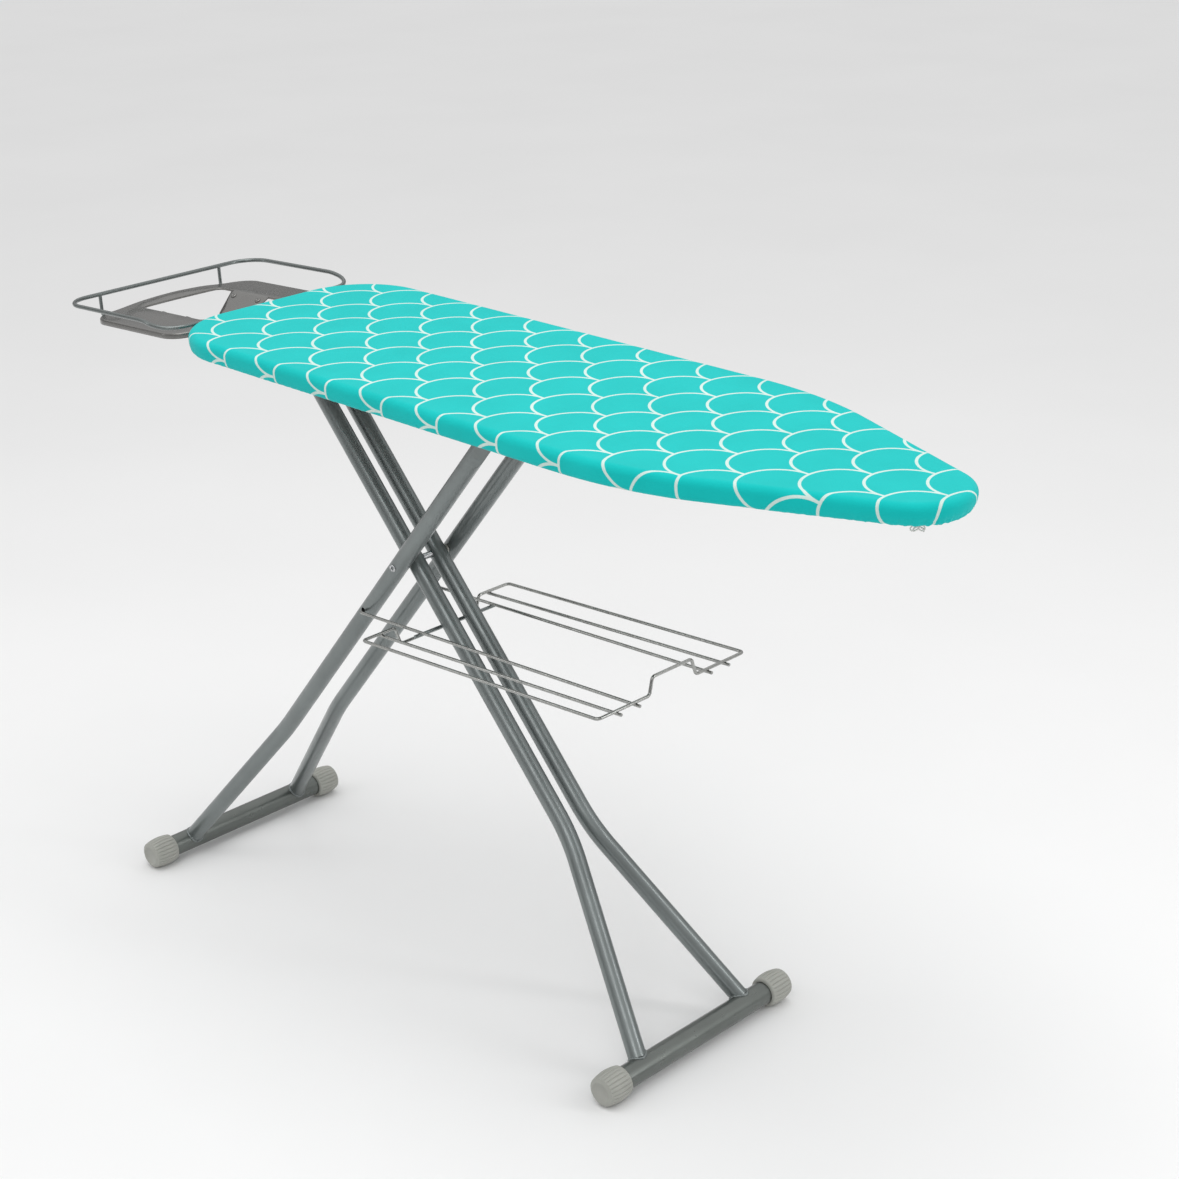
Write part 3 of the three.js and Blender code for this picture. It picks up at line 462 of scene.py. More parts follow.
def tube(points, radius, sides=24, closed=False, ends=True, round_ends=False):
    """Points and faces of a round wire or tube along a line, with a steady frame."""
    count = len(points)
    points = [Vector(p) for p in points]
    tangents = []
    for i in range(count):
        if closed:
            tangents.append((points[(i + 1) % count] - points[i - 1]).normalized())
        else:
            a = points[i] - points[max(i - 1, 0)]
            b = points[min(i + 1, count - 1)] - points[i]
            tangents.append((a.normalized() + b.normalized()).normalized())
    start = Vector((0, 0, 1)) if abs(tangents[0].z) < 0.9 else Vector((0, 1, 0))
    side = tangents[0].cross(start).normalized()
    verts, faces, uvs = [], [], []
    run = 0.0
    for i in range(count):
        if i:
            side = (side - tangents[i] * side.dot(tangents[i])).normalized()
            run += (points[i] - points[i - 1]).length
        across = tangents[i].cross(side)
        stretch = 1.0
        if 0 < i < count - 1 or closed:
            a = (points[i] - points[i - 1]).normalized()
            stretch = 1.0 / max(0.5, a.dot(tangents[i]))
        r = radius(i) if callable(radius) else radius
        for k in range(sides):
            angle = TAU * k / sides
            way = side * math.cos(angle) + across * math.sin(angle)
            verts.append(points[i] + way * r * (1 + (stretch - 1) * 0.5))
            uvs.append((k / sides * 6, run / 3))
    loops = count if closed else count - 1
    for i in range(loops):
        for k in range(sides):
            n, j = (k + 1) % sides, (i + 1) % count
            faces.append((i * sides + k, i * sides + n, j * sides + n, j * sides + k))
    if ends and not closed:
        dome = radius * 0.45 if round_ends else 0
        for ring, sign in ((0, -1), (count - 1, 1)):
            base = ring * sides
            if dome:
                base = len(verts)
                for k in range(sides):
                    edge = verts[ring * sides + k] - points[ring]
                    verts.append(points[ring] + edge * 0.72 + tangents[ring] * sign * dome * 0.7)
                for k in range(sides):
                    n = (k + 1) % sides
                    faces.append((ring * sides + k, ring * sides + n, base + n, base + k))
            verts.append(points[ring] + tangents[ring] * sign * dome)
            faces += [(base + k, base + (k + 1) % sides, len(verts) - 1) for k in range(sides)]
        uvs += [(0, 0)] * (len(verts) - len(uvs))
    return verts, faces, uvs


def lathe(profile, sides=48, centre=(0, 0, 0), ripple=None):
    """A turned solid about the Y axis through centre. The profile is (radius, y) pairs."""
    verts, faces = [], []
    count = len(profile)
    for k in range(sides):
        angle = TAU * k / sides
        for radius, y in profile:
            r = radius * (1 + (ripple(angle, radius, y) if ripple else 0))
            verts.append((centre[0] + r * math.cos(angle), centre[1] + y, centre[2] + r * math.sin(angle)))
    for k in range(sides):
        n = (k + 1) % sides
        for i in range(count - 1):
            faces.append((k * count + i, k * count + i + 1, n * count + i + 1, n * count + i))
    return verts, faces


def bands(rows, count, base=0):
    """Quads between closed rows of points, each row joined to the next."""
    faces = []
    for r in range(rows - 1):
        for i in range(count):
            n = (i + 1) % count
            low, high = base + r * count, base + (r + 1) * count
            faces.append((low + i, low + n, high + n, high + i))
    return faces


def merged(*parts):
    """Several sets of points and faces as one."""
    verts, faces = [], []
    for part in parts:
        base = len(verts)
        verts += [tuple(p) for p in part[0]]
        faces += [tuple(base + i for i in f) for f in part[1]]
    return verts, faces


def area_of(points):
    return sum(a[0] * b[1] - b[0] * a[1] for a, b in zip(points, points[1:] + points[:1])) / 2


def fill(outline, holes=(), inside=()):
    """Triangles that fill a flat outline, leaving out holes, with some points inside."""
    points, loops = [], []
    for ring in (outline, *holes):
        order = list(range(len(points), len(points) + len(ring)))
        loops.append(order if area_of(list(ring)) > 0 else order[::-1])
        points += [Vector(p[:2]) for p in ring]
    points += [Vector(p) for p in inside]
    found = delaunay_2d_cdt(points, [], loops, 1, 1e-6)
    kept = [tuple(f) for f, sources in zip(found[2], found[5]) if max(sources) == 0]
    return [(p.x, p.y) for p in found[0]], kept


def arc(cx, cy, radius, start, end, steps):
    return [(cx + radius * math.cos(start + (end - start) * i / steps),
             cy + radius * math.sin(start + (end - start) * i / steps)) for i in range(steps + 1)]


def disc(cx, cy, radius, steps):
    return arc(cx, cy, radius, 0, TAU, steps)[:-1]


def rounded_box(x0, x1, half, radius, steps):
    quarter = math.pi / 2
    return [*arc(x1 - radius, half - radius, radius, quarter, 0, steps),
            *arc(x1 - radius, -half + radius, radius, 0, -quarter, steps),
            *arc(x0 + radius, -half + radius, radius, -quarter, -2 * quarter, steps),
            *arc(x0 + radius, half - radius, radius, 2 * quarter, quarter, steps)]


# ---- the board's outline -----------------------------------------------------------------
def outline(inset, fine=1):
    """Points round the board inside the cover's edge, heel first: place, way out, cornering."""
    nose_x = HEEL_X + BOARD_LENGTH - NOSE_RADIUS
    drop = BLEND_RADIUS * (1 - math.cos(TAPER))
    run = (HALF_WIDTH - drop - NOSE_RADIUS * math.cos(TAPER)) / math.tan(TAPER)
    blend_x = nose_x + (NOSE_RADIUS - BLEND_RADIUS) * math.sin(TAPER) - run
    quarter = math.pi / 2
    arcs = [(HEEL_X + HEEL_RADIUS, HALF_WIDTH - HEEL_RADIUS, HEEL_RADIUS, 2 * quarter, quarter, 22 * fine),
            (blend_x, HALF_WIDTH - BLEND_RADIUS, BLEND_RADIUS, quarter, quarter - TAPER, 14 * fine),
            (nose_x, 0, NOSE_RADIUS, quarter - TAPER, 0, 22 * fine)]
    left = []
    for cx, cy, radius, start, end, steps in arcs:
        for i in range(steps + 1):
            a = start + (end - start) * i / steps
            way = (math.cos(a), math.sin(a))
            left.append(((cx + radius * way[0], cy + radius * way[1]), way, 1 if radius < 200 else 0))
    dense = []
    pairs = list(zip(left, left[1:]))
    dense.append(left[0])
    for (p, w, c), (q, x, d) in pairs:
        gap = math.dist(p, q)
        cuts = max(1, int(gap / (9 / fine)))
        for i in range(1, cuts + 1):
            t = i / cuts
            dense.append(((p[0] + (q[0] - p[0]) * t, p[1] + (q[1] - p[1]) * t),
                          (w[0] + (x[0] - w[0]) * t, w[1] + (x[1] - w[1]) * t), c + (d - c) * t))
    mirrored = [((p[0], -p[1]), (w[0], -w[1]), c) for p, w, c in reversed(dense[:-1])]
    ring = dense + mirrored
    heel = []
    last, first = ring[-1], ring[0]
    cuts = int(math.dist(last[0], first[0]) / 9)
    for i in range(1, cuts):
        t = i / cuts
        heel.append(((HEEL_X, last[0][1] + (first[0][1] - last[0][1]) * t), (-1, 0), 0))
    ring += heel
    return [((p[0] - w[0] * inset, p[1] - w[1] * inset), w, c) for p, w, c in ring]


def wave(s, pitch, seed):
    """A smooth uneven ripple along the edge."""
    return (math.sin(TAU * s / pitch + seed) + 0.6 * math.sin(TAU * s / (pitch * 0.61) + 2.3 * seed)
            + 0.35 * math.sin(TAU * s / (pitch * 0.37) + 4.1 * seed)) / 1.95


def cover():
    """The sewn cover: flat top, rolled edge, skirt drawn in by its cord under the rim.

    Each profile row holds the way in from the edge, the fall below the top, how strongly the
    cord gathers it, and the distance along the flat cloth.
    """
    ring = outline(0, 4)
    count = len(ring)
    runs = [0.0]
    for i in range(1, count):
        runs.append(runs[-1] + math.dist(ring[i][0], ring[i - 1][0]))
    roll, tuck = 10.0, 7.0
    depth = SKIRT - 1.0
    profile = [(inset, 0.0, 0.0, roll - inset) for inset in (64, 50, 36, 26, 18, 13)]
    reach = 0.0
    for k in range(9):
        a = math.pi / 2 * k / 8
        fall = -(roll - roll * math.cos(a))
        profile.append((roll - roll * math.sin(a), fall, 0.1 * (k / 8) ** 2, reach + roll * a))
    reach += roll * math.pi / 2
    wall = depth - roll - tuck
    for k in range(1, 7):
        t = k / 6
        profile.append((0.0, -roll - wall * t, 0.1 + 0.6 * t * t, reach + wall * t))
    reach += wall
    for k in range(1, 7):
        a = math.pi / 2 * k / 6
        fall = -depth + tuck - tuck * math.sin(a)
        profile.append((tuck - tuck * math.cos(a), fall, 0.7 + 0.3 * k / 6, reach + tuck * a))
    reach += tuck * math.pi / 2
    for k in range(1, 5):
        run = (HEM - 0.5 - tuck) * k / 4
        profile.append((tuck + run, -depth, 1.0, reach + run))
    verts, uvs = [], []
    for inset, height, pucker, flat in profile:
        for i, (p, way, curve) in enumerate(ring):
            s = runs[i]
            nose = min(1.0, max(0.0, (p[0] - 930) / 150))
            gather = pucker ** 1.4 * (0.14 + 0.4 * curve + 0.8 * nose)
            ripple = wave(s, 13.5, 1.3) * 0.6 + wave(s, 31, 0.4) * 0.4
            pull = gather * (0.5 + 0.5 * ripple) * (1.7 + 1.1 * nose)
            lift = gather * (wave(s, 15, 2.7) - 0.2) * 0.55
            drawn = (0.8 + 1.6 * curve + 1.6 * nose) * pucker ** 1.5
            soft = 0.35 * wave(s, 170, 5.1) * min(1.0, pucker * 3)
            x = p[0] - way[0] * (inset + pull + soft + drawn)
            y = p[1] - way[1] * (inset + pull + soft + drawn)
            verts.append((x, y, min(COVER_TOP + height + lift, COVER_TOP)))
            out = flat - roll
            uvs.append(((p[0] + way[0] * out - HEEL_X) * MM, (p[1] + way[1] * out) * MM))
    faces = bands(len(profile), count)
    base = len(verts)
    inner_ring = [v[:2] for v in verts[:count]]
    spots = []
    for gx in range(int(HEEL_X) + 60, int(HEEL_X + BOARD_LENGTH) - 70, 24):
        for gy in range(-144, 145, 24):
            if far_inside(inner_ring, gx, gy, 10):
                spots.append((gx, gy))
    flat_points, triangles = fill(inner_ring, (), spots)
    for x, y in flat_points:
        verts.append((x, y, COVER_TOP))
        uvs.append(((x - HEEL_X) * MM, y * MM))
    faces += [tuple(base + i for i in t) for t in triangles]
    made = piece("cover_cloth", "board", "cotton", ["cover"], verts, faces, BOARD, uvs=uvs, angle=180)
    return made, sum(p.area for p in made.data.polygons)


def far_inside(ring, x, y, margin):
    hit = False
    for i, (ax, ay) in enumerate(ring):
        bx, by = ring[(i + 1) % len(ring)]
        if (ay > y) != (by > y) and x < ax + (bx - ax) * (y - ay) / (by - ay):
            hit = not hit
        if abs(ax - x) < margin and abs(ay - y) < margin:
            return False
    return hit


def slab(name, slot, nodes, inset, low, high, ease):
    """A flat layer of the board with eased edges."""
    ring = outline(inset)
    count = len(ring)
    verts = []
    levels = [(ease * 0.3, low), (0, low + ease * 0.3), (0.1 * ease, high - 0.55 * ease),
              (0.35 * ease, high - ease * 0.2), (0.7 * ease, high - 0.04 * ease), (ease, high)]
    for inward, z in levels:
        for p, way, _ in ring:
            verts.append((p[0] - way[0] * inward, p[1] - way[1] * inward, z))
    faces = bands(len(levels), count)
    for z, ends in ((low, verts[:count]), (high, verts[-count:])):
        flat, triangles = fill([v[:2] for v in ends])
        base = len(verts)
        verts += [(x, y, z) for x, y in flat]
        faces += [tuple(base + i for i in t) for t in triangles]
    return piece(name, "board", slot, nodes, verts, faces, BOARD)


def deck():
    """Steel deck pierced with rows of round steam holes."""
    rim = [p for p, _, _ in outline(SHEET_INSET)]
    guard = [p for p, _, _ in outline(15)]
    holes = []
    for i in range(52):
        for j in range(-9, 10):
            x = HEEL_X + 22 + i * STEAM_PITCH_X
            y = (j + (i % 2) / 2) * STEAM_PITCH_Y
            if far_inside(guard, x, y, 1):
                holes.append(disc(x, y, STEAM_HOLE, 10))
    flat, faces = fill(rim, holes)
    points = [(x, y, DECK_TOP) for x, y in flat]
    made = piece("deck_sheet", "board", "grey_paint", ["deck_panel"], points, faces, BOARD, smooth=False)
    thickened(made, DECK_SHEET)


# ---- board and its underside -------------------------------------------------------------
cover_piece, cover_area = cover()
pad_piece = slab("pad_felt", "felt", ["pad"], 3.4, DECK_TOP + 0.3, PAD_TOP, 4.6)
deck()

ring_in = [(p[0], p[1], COVER_TOP - SKIRT + 0.5) for p, _, _ in outline(HEM + 1.6)]
nose_at = min(range(len(ring_in)), key=lambda i: math.dist(ring_in[i][:2], (HEEL_X + BOARD_LENGTH - 45, -42)))
route = ring_in[nose_at + 1:] + ring_in[:nose_at]
v, f, uv = tube(route, CORD_RADIUS, 10)
piece("draw_cord_braid", "board", "cord", ["draw_cord"], v, f, BOARD, uvs=uv)


def rim_band():
    """Folded steel edge of the deck: a thin upright band with its foot turned in."""
    levels = [(9.2, 34.0), (9.0, 33.0), (9.0, 16.2), (9.5, 15.0), (10.6, 14.6), (15.5, 14.6),
              (15.5, 15.8), (11.2, 15.8), (10.5, 16.6), (10.5, 34.0), (9.2, 34.0)]
    ring = outline(0)
    count = len(ring)
    verts = [(p[0] - w[0] * inset, p[1] - w[1] * inset, z) for inset, z in levels for p, w, _ in ring]
    faces = bands(len(levels), count)
    piece("rim_band", "board", "grey_paint", ["rim_frame"], verts, faces, BOARD)


def tied_loop():
    """Two slack loops and two short tails below the hem, where the draw cord is tied."""
    low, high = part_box("cord_loop")
    centre = BOARD.inverted() @ ((low + high) / 2)
    along = Vector((ring_in[nose_at + 2][0] - ring_in[nose_at - 2][0],
                    ring_in[nose_at + 2][1] - ring_in[nose_at - 2][1], 0)).normalized()
    parts = []
    knot = centre - along * 3 + Vector((0, 0, 11))
    for sign, reach, sag in ((1, 4.2, 2.6), (-1, 3.2, 2.2)):
        loop = []
        for i in range(25):
            a = TAU * i / 24
            out = along * sign * (1 - math.cos(a)) * reach
            down = Vector((0, 0, -1)) * (1 - math.cos(a)) * sag
            swing = along * math.sin(a) * 1.6 + Vector((0, 0, math.sin(a) * 2.6 * sign))
            loop.append(knot + out + down + swing)
        parts.append(tube(loop, LOOP_CORD, 10)[:2])
        bends = ((0, 0), (2, 1.5), (5, 3), (6, 6.5))
        tail = [knot + along * sign * out + Vector((0, 0, -fall)) for out, fall in bends]
        parts.append(tube(rounded(tail, 2.5, 5), TAIL_CORD, 10, round_ends=True)[:2])
    widths = (1.0, 2.0, 2.3, 2.0, 1.0)
    parts.append(tube([knot + along * t for t in (-2.4, -1.3, 0, 1.3, 2.4)], lambda i: widths[i], 12)[:2])
    v, f = merged(*parts)
    uvs = [(i * 0.37, i * 0.11) for i in range(len(v))]
    piece("draw_cord_bow", "board", "cord", ["cord_loop"], v, f, BOARD, uvs=uvs)


rim_band()
tied_loop()
for node in ("heel_channel", "pivot_channel", "lever_channel", "nose_channel",
             "pivot_bracket_left", "pivot_bracket_right", "slide_rail_left", "slide_rail_right",
             "lever_bracket_inner", "lever_bracket_outer"):
    softened(node, "board", "grey_paint", 0.0003)


# ---- height lever ------------------------------------------------------------------------
softened("latch_plate", "lever", "plated_steel", 0.0003)
crank = rounded([(0, 12, 0), (0, LEVER_GRIP_Y, 0), (110, LEVER_GRIP_Y, -9)], 12, 10)
v, f, _ = tube(crank, LEVER_ROD, 20, round_ends=True)
piece("lever_rod_bent", "lever", "plated_steel", ["lever_rod"], v, f, LEVER)
grip = [Vector((52 + 64 * i / 40, LEVER_GRIP_Y, -9 * (52 + 64 * i / 40) / 110)) for i in range(41)]


def grip_radius(i):
    """Ribbed grip: every fourth ring is a groove, and both ends are rounded off."""
    ending = {0: 0.72, 40: 0.72, 1: 0.93, 39: 0.93}.get(i, 1)
    return (6.9 if i % 4 else 6.2) * ending


v, f, _ = tube(grip, grip_radius, 24)
piece("lever_grip_ribbed", "lever", "black_plastic", ["lever_grip"], v, f, LEVER)
turns = 7
coil = [Vector((LEVER_X + 6.0 * math.cos(TAU * turns * i / 140), -46 + 14 * i / 140,
                LEVER_Z + 6.0 * math.sin(TAU * turns * i / 140))) for i in range(141)]
v, f, _ = tube(coil, 0.7, 8)
piece("lever_spring_coil", "board", "plated_steel", ["lever_spring"], v, f, BOARD)


# ---- iron rest ---------------------------------------------------------------------------
def ring_height(x):
    t = min(max((x + RING_DIP_RUN) / RING_DIP_RUN, 0), 1)
    return -RING_DIP * t * t * (3 - 2 * t)


def dense_loop(points, gap):
    out = []
    for i, p in enumerate(points):
        q = points[(i + 1) % len(points)]
        cuts = max(1, int(math.dist(p, q) / gap))
        out += [(p[0] + (q[0] - p[0]) * k / cuts, p[1] + (q[1] - p[1]) * k / cuts) for k in range(cuts)]
    return out


def painted(made, paint):
    made.data.materials[0] = paint
    return made


ring_plan = dense_loop(rounded_box(-RING_LENGTH, 0, RING_HALF, 40, 14), 9)
v, f, _ = tube([(x, y, ring_height(x)) for x, y in ring_plan], RING_WIRE, 24, closed=True)
painted(piece("guard_ring_wire", "board", "grey_paint", ["guard_ring"], v, f, REST), WIRE_PAINT)


def smooth_step(t):
    t = min(max(t, 0.0), 1.0)
    return t * t * (3 - 2 * t)


def plate_height(x, y):
    """The pressing is level in the middle, falls off at its sides and flares up along its heel edge."""
    fall = 4.5 * smooth_step((abs(y) - 50) / 80)
    flare = 3.4 * smooth_step((-185 - x) / 37) * math.cos(math.pi * min(abs(y), 100) / 200) ** 2
    return 2 - PLATE_DROP - fall + flare


def rest_plate():
    """Pressed plate: eased edge, turned-down flange and a rolled window."""
    outer = dense_loop(rounded_box(-222, -20, 141, 32, 12), 12)
    window = dense_loop(rounded_box(-194, -47, 71, 10, 8), 12)
    ease, roll = 3.0, 1.6
    verts, faces = [], []

    def strip(loop_points, way, levels):
        count = len(loop_points)
        base = len(verts)
        for shift, z in levels:
            for i, (x, y) in enumerate(loop_points):
                ax, ay = loop_points[i - 1]
                bx, by = loop_points[(i + 1) % count]
                nx, ny = by - ay, -(bx - ax)
                size = math.hypot(nx, ny)
                px, py = x + nx / size * shift * way, y + ny / size * shift * way
                verts.append((px, py, z + plate_height(px, py)))
        faces.extend(bands(len(levels), count, base))
        return [verts[base + i][:2] for i in range(count)]

    spin_out = 1 if area_of(outer) > 0 else -1
    turns = [math.pi / 2 * k / 5 for k in range(6)]
    quarter = [(-ease + ease * math.sin(a), -ease + ease * math.cos(a)) for a in turns]
    top_outer = strip(outer, spin_out, [*quarter, (0, -5.5), (0, -8.0)])
    spin_in = 1 if area_of(window) > 0 else -1
    turns = [math.pi / 2 * k / 4 for k in range(5)]
    rim = [(roll - roll * math.sin(a), -roll + roll * math.cos(a)) for a in turns]
    top_window = strip(window, spin_in, [*rim, (0, -3.2)])
    spots = [(x, y) for x in range(-212, -20, 14) for y in range(-133, 134, 14)
             if far_inside(top_outer, x, y, 6) and not far_inside(top_window, x, y, 0)
             and not any(abs(x - a) < 6 and abs(y - b) < 6 for a, b in top_window)]
    flat, triangles = fill(top_outer, [top_window], spots)
    base = len(verts)
    verts.extend((x, y, plate_height(x, y)) for x, y in flat)
    faces.extend(tuple(base + i for i in t) for t in triangles)
    nodes = ["iron_rest_plate"]
    made = piece("iron_rest_pressing", "board", "grey_paint", nodes, verts, faces, REST, angle=60)
    painted(made, GLOSS_PAINT)
    add = made.modifiers.new("thick", "SOLIDIFY")
    add.thickness = PLATE_SHEET * MM
    add.offset = -1
    settled(made)


rest_plate()
TAB_FOLD, TAB_END = 71, 29
TAB_ANGLE = math.radians(31.4)
STUD_Y = 62
STUD_PROFILE = [(0, -3.0), (2.8, -3.0), (3.4, -2.4), (3.4, -1.6), (2.2, -1.6), (2.2, 0.1),
                (4.5, 0.1), (4.4, 0.8), (3.6, 1.5), (2.4, 1.7), (1.6, 1.2), (0, 1.0)]


def tab_height(y):
    run = TAB_FOLD - y
    bend = math.log1p(math.exp(-abs(run) / 1.2)) * 1.2 + max(run, 0)
    return plate_height(-120, TAB_FOLD) - bend * math.tan(TAB_ANGLE)


def rest_tab(hand, side):
    """Tab pressed down from the window's side, with rounded inner corners."""
    root = TAB_FOLD + 1.2
    corners = rounded([(-168, root, 0), (-148, TAB_END, 0), (-86, TAB_END, 0), (-80, root, 0)], 4, 6)
    line = [(p.x, p.y) for p in corners]
    rows = (34, 40, 46, 52, 58, 63, 66, 68, 69.5, 70.5, 71.3)
    spots = [(x, y) for x in range(-160, -84, 8) for y in rows
             if -164 + (TAB_FOLD - y) * 0.48 < x < -83 - (TAB_FOLD - y) * 0.14]
    flat, faces = fill(line, (), spots)
    points = [(x, side * y, tab_height(y)) for x, y in flat]
    name = f"rest_tab_pressed_{hand}"
    made = piece(name, "board", "grey_paint", [f"rest_tab_{hand}"], points, faces, REST, angle=50)
    thickened(painted(made, GLOSS_PAINT), PLATE_SHEET)


for hand, side in HANDS:
    rest_tab(hand, side)
    for number, x in ((1, -95), (2, -152)):
        v, f = lathe(STUD_PROFILE, 32)
        v = [(a, -c, b) for a, b, c in v]
        spot = Matrix.Translation((x, side * STUD_Y, tab_height(STUD_Y)))
        stand = REST @ spot @ Matrix.Rotation(side * TAB_ANGLE, 4, "X")
        name, node = f"rest_rivet_{hand}_{number}", f"rest_stud_{hand}_{number}"
        painted(piece(name, "board", "plated_steel", [node], v, f, stand), GLOSS_PAINT)
    under = -PLATE_DROP - 9.8
    y = side * SUPPORT_Y
    line = rounded([(-RING_LENGTH, y, -1.0), (-RING_LENGTH, y, under), (-8, y, under), (6, y, under - 5),
                    (36, y, under - 5), (36, y, -18.3)], 6, 8)
    post = [(0, y, -PLATE_DROP - 10.5), (0, y, -RING_DIP)]
    wires = (("support_wire_bent", "support_wire", line), ("ring_post_wire", "ring_post", post))
    for name, node, way in wires:
        v, f, _ = tube(way, SUPPORT_WIRE, 20)
        made = piece(f"{name}_{hand}", "board", "grey_paint", [f"{node}_{hand}"], v, f, REST)
        painted(made, WIRE_PAINT)


# ---- legs --------------------------------------------------------------------------------
FLAT_START, FLAT_RUN, FLAT_DEPTH = 240, 13, 5.4
FLAT_CLEAR = 230
TUBE_SIDES = 48


def pressed_flat(verts, side):
    """Presses the outer leg's top flat, facing out and down."""
    way = Vector((0, side * 0.66, -0.75)).normalized()
    for i, p in enumerate(verts):
        middle_line = Vector((p[0], side * OUTER_Y, 0))
        limit = TUBE - FLAT_DEPTH * smooth_step((p[0] - FLAT_START) / FLAT_RUN)
        beyond = (Vector(p) - middle_line).dot(way) - limit
        if p[0] > FLAT_CLEAR and beyond > 0:
            verts[i] = tuple(Vector(p) - way * beyond)
    return verts


def leg_tube(name, node, body, matrix, direction, y, upper):
    """A bent tube: open cut top, spread foot let into the foot bar, with a weld bead round the joint."""
    foot = Vector((direction * LEG_LOWER, math.copysign(SPREAD, y), 0))
    bend = Vector((direction * LEG_BEND, y, 0))
    top = Vector((-direction * (upper + LEG_END), y, 0))
    way = (foot - bend).normalized()
    stop = foot - way * (FOOT_BAR - 3)
    line = [top + Vector((direction * 2.5 * k, 0, 0)) for k in range(48)]
    line += rounded([top, bend, stop], 260, 20)[1:]
    outer_verts, outer_faces, _ = tube(line, TUBE, TUBE_SIDES, ends=False)
    inner_verts, inner_faces, _ = tube(line, TUBE - TUBE_WALL, TUBE_SIDES, ends=False)
    if direction < 0:
        outer_verts = pressed_flat(outer_verts, math.copysign(1, y))
        for i, p in enumerate(outer_verts):
            if p[0] > FLAT_CLEAR:
                centre = Vector((p[0], y, 0))
                inner_verts[i] = centre + (Vector(p) - centre) * ((TUBE - TUBE_WALL) / TUBE)
    count = len(outer_verts)
    last = count - TUBE_SIDES
    rings = []
    for k in range(TUBE_SIDES):
        n = (k + 1) % TUBE_SIDES
        rings.append((k, n, count + n, count + k))
        rings.append((last + k, count + last + k, count + last + n, last + n))
    v, f = merged((outer_verts, outer_faces), (inner_verts, [tuple(reversed(q)) for q in inner_faces]))
    made = piece(name, body, "grey_paint", [node], v, f + rings, matrix)
    if direction < 0:
        hole_cut(made, matrix, y)
    side = way.cross(Vector((0, 0, 1))).normalized()
    across = way.cross(side)
    seam = []
    for k in range(72):
        a = TAU * k / 72
        edge = foot + (side * math.cos(a) + across * math.sin(a)) * TUBE
        low, high = 0.0, 60.0
        for _ in range(30):
            t = (low + high) / 2
            p = edge - way * t
            low, high = (t, high) if math.hypot(p.x - foot.x, p.z) < FOOT_BAR else (low, t)
        lump = 0.35 * math.sin(a * 17 + y) + 0.2 * rand.uniform(-1, 1)
        seam.append(edge - way * (low + 0.4 + lump))
    v, f, _ = tube(seam, 1.9, 10, closed=True)
    piece(name + "_weld", body, "grey_paint", [], v, f, matrix)


def hole_cut(made, matrix, y):
    """Drills the hole that the rack's hooked wire hangs in, a little larger than the wire."""
    v, f = lathe([(0, 0), (HOOK_HOLE, 0), (HOOK_HOLE, 30), (0, 30)], 32)
    lift = matrix.inverted().to_3x3() @ Vector((0, 0, HOOK_HOLE_LIFT * MM))
    side = math.copysign(1, y)
    v = [(a - RACK_HOOK + lift.x, y + side * b, c + lift.z) for a, b, c in v]
    mesh = bpy.data.meshes.new("drill")
    mesh.from_pydata([matrix @ Vector(p) for p in v], [], f)
    drill = bpy.data.objects.new("drill", mesh)
    scene.collection.objects.link(drill)
    tidy_normals(drill)
    add = made.modifiers.new("hole", "BOOLEAN")
    add.operation = "DIFFERENCE"
    add.solver = "EXACT"
    add.object = drill
    settled(made)
    bpy.data.objects.remove(drill)
    made.data.shade_smooth()
    made.data.set_sharp_from_angle(angle=math.radians(38))


def foot_bar(name, node, body, matrix, x, length):
    half = length / 2 - 7
    v, f = lathe([(0, -half), (FOOT_BAR, -half), (FOOT_BAR, half), (0, half)], 64, (x, 0, 0))
    painted(piece(name, body, "grey_paint", [node], v, f, matrix), BAR_PAINT)


def foot_cap(name, node, body, matrix, x, length, side):
    """Barrel cap with flat ribs along its middle band, a plain shoulder and a shallow dished face."""
    end = length / 2
    profile = [(0, end - 1.0), (12.2, end - 0.9), (12.9, end - 0.2), (14.6, end), (15.8, end - 0.5),
               (17.2, end - 1.8)]
    for k in range(21):
        t = k / 20
        y = end - 2.6 - (CAP_LENGTH - 4.0) * t
        profile.append((18.2 + 4.25 * math.sin(math.pi * (0.06 + t * 0.80)) ** 0.75, y))
    profile += [(19.6, end - CAP_LENGTH + 0.8), (18.8, end - CAP_LENGTH + 0.1), (17.6, end - CAP_LENGTH),
                (16.3, end - CAP_LENGTH), (16.3, end - 6.5)]

    def ripple(angle, radius, y):
        ends = min(1.0, max(0.0, (end - 1.6 - y) / 3), max(0.0, (y - end + CAP_LENGTH - 1.5) / 3))
        if radius < 17.5 or ends <= 0:
            return 0
        groove = abs(((angle * 24 / TAU) % 1) - 0.5) * 2
        return -0.06 * ends * smooth_step(1 - groove / 0.42)

    v, f = lathe(profile, 264, ripple=ripple)
    v = [(x + a, side * b, c) for a, b, c in v]
    piece(name, body, "grey_plastic", [node], v, f, matrix, angle=50)


legs = (("inner", "inner_leg", INNER, 1, INNER_Y, INNER_UPPER, 360),
        ("outer", "outer_leg", OUTER, -1, OUTER_Y, OUTER_UPPER, 364))
for kind, body, matrix, direction, offset, upper, length in legs:
    foot_bar(f"{kind}_foot_tube", f"{kind}_foot_bar", body, matrix, direction * LEG_LOWER, length)
    for hand, side in HANDS:
        leg_tube(f"{kind}_leg_{hand}", f"{kind}_tube_{hand}", body, matrix, direction, side * offset, upper)
        name = f"{kind}_foot_cap_{hand}"
        foot_cap(name, f"{kind}_cap_{hand}", body, matrix, direction * LEG_LOWER, length, side)


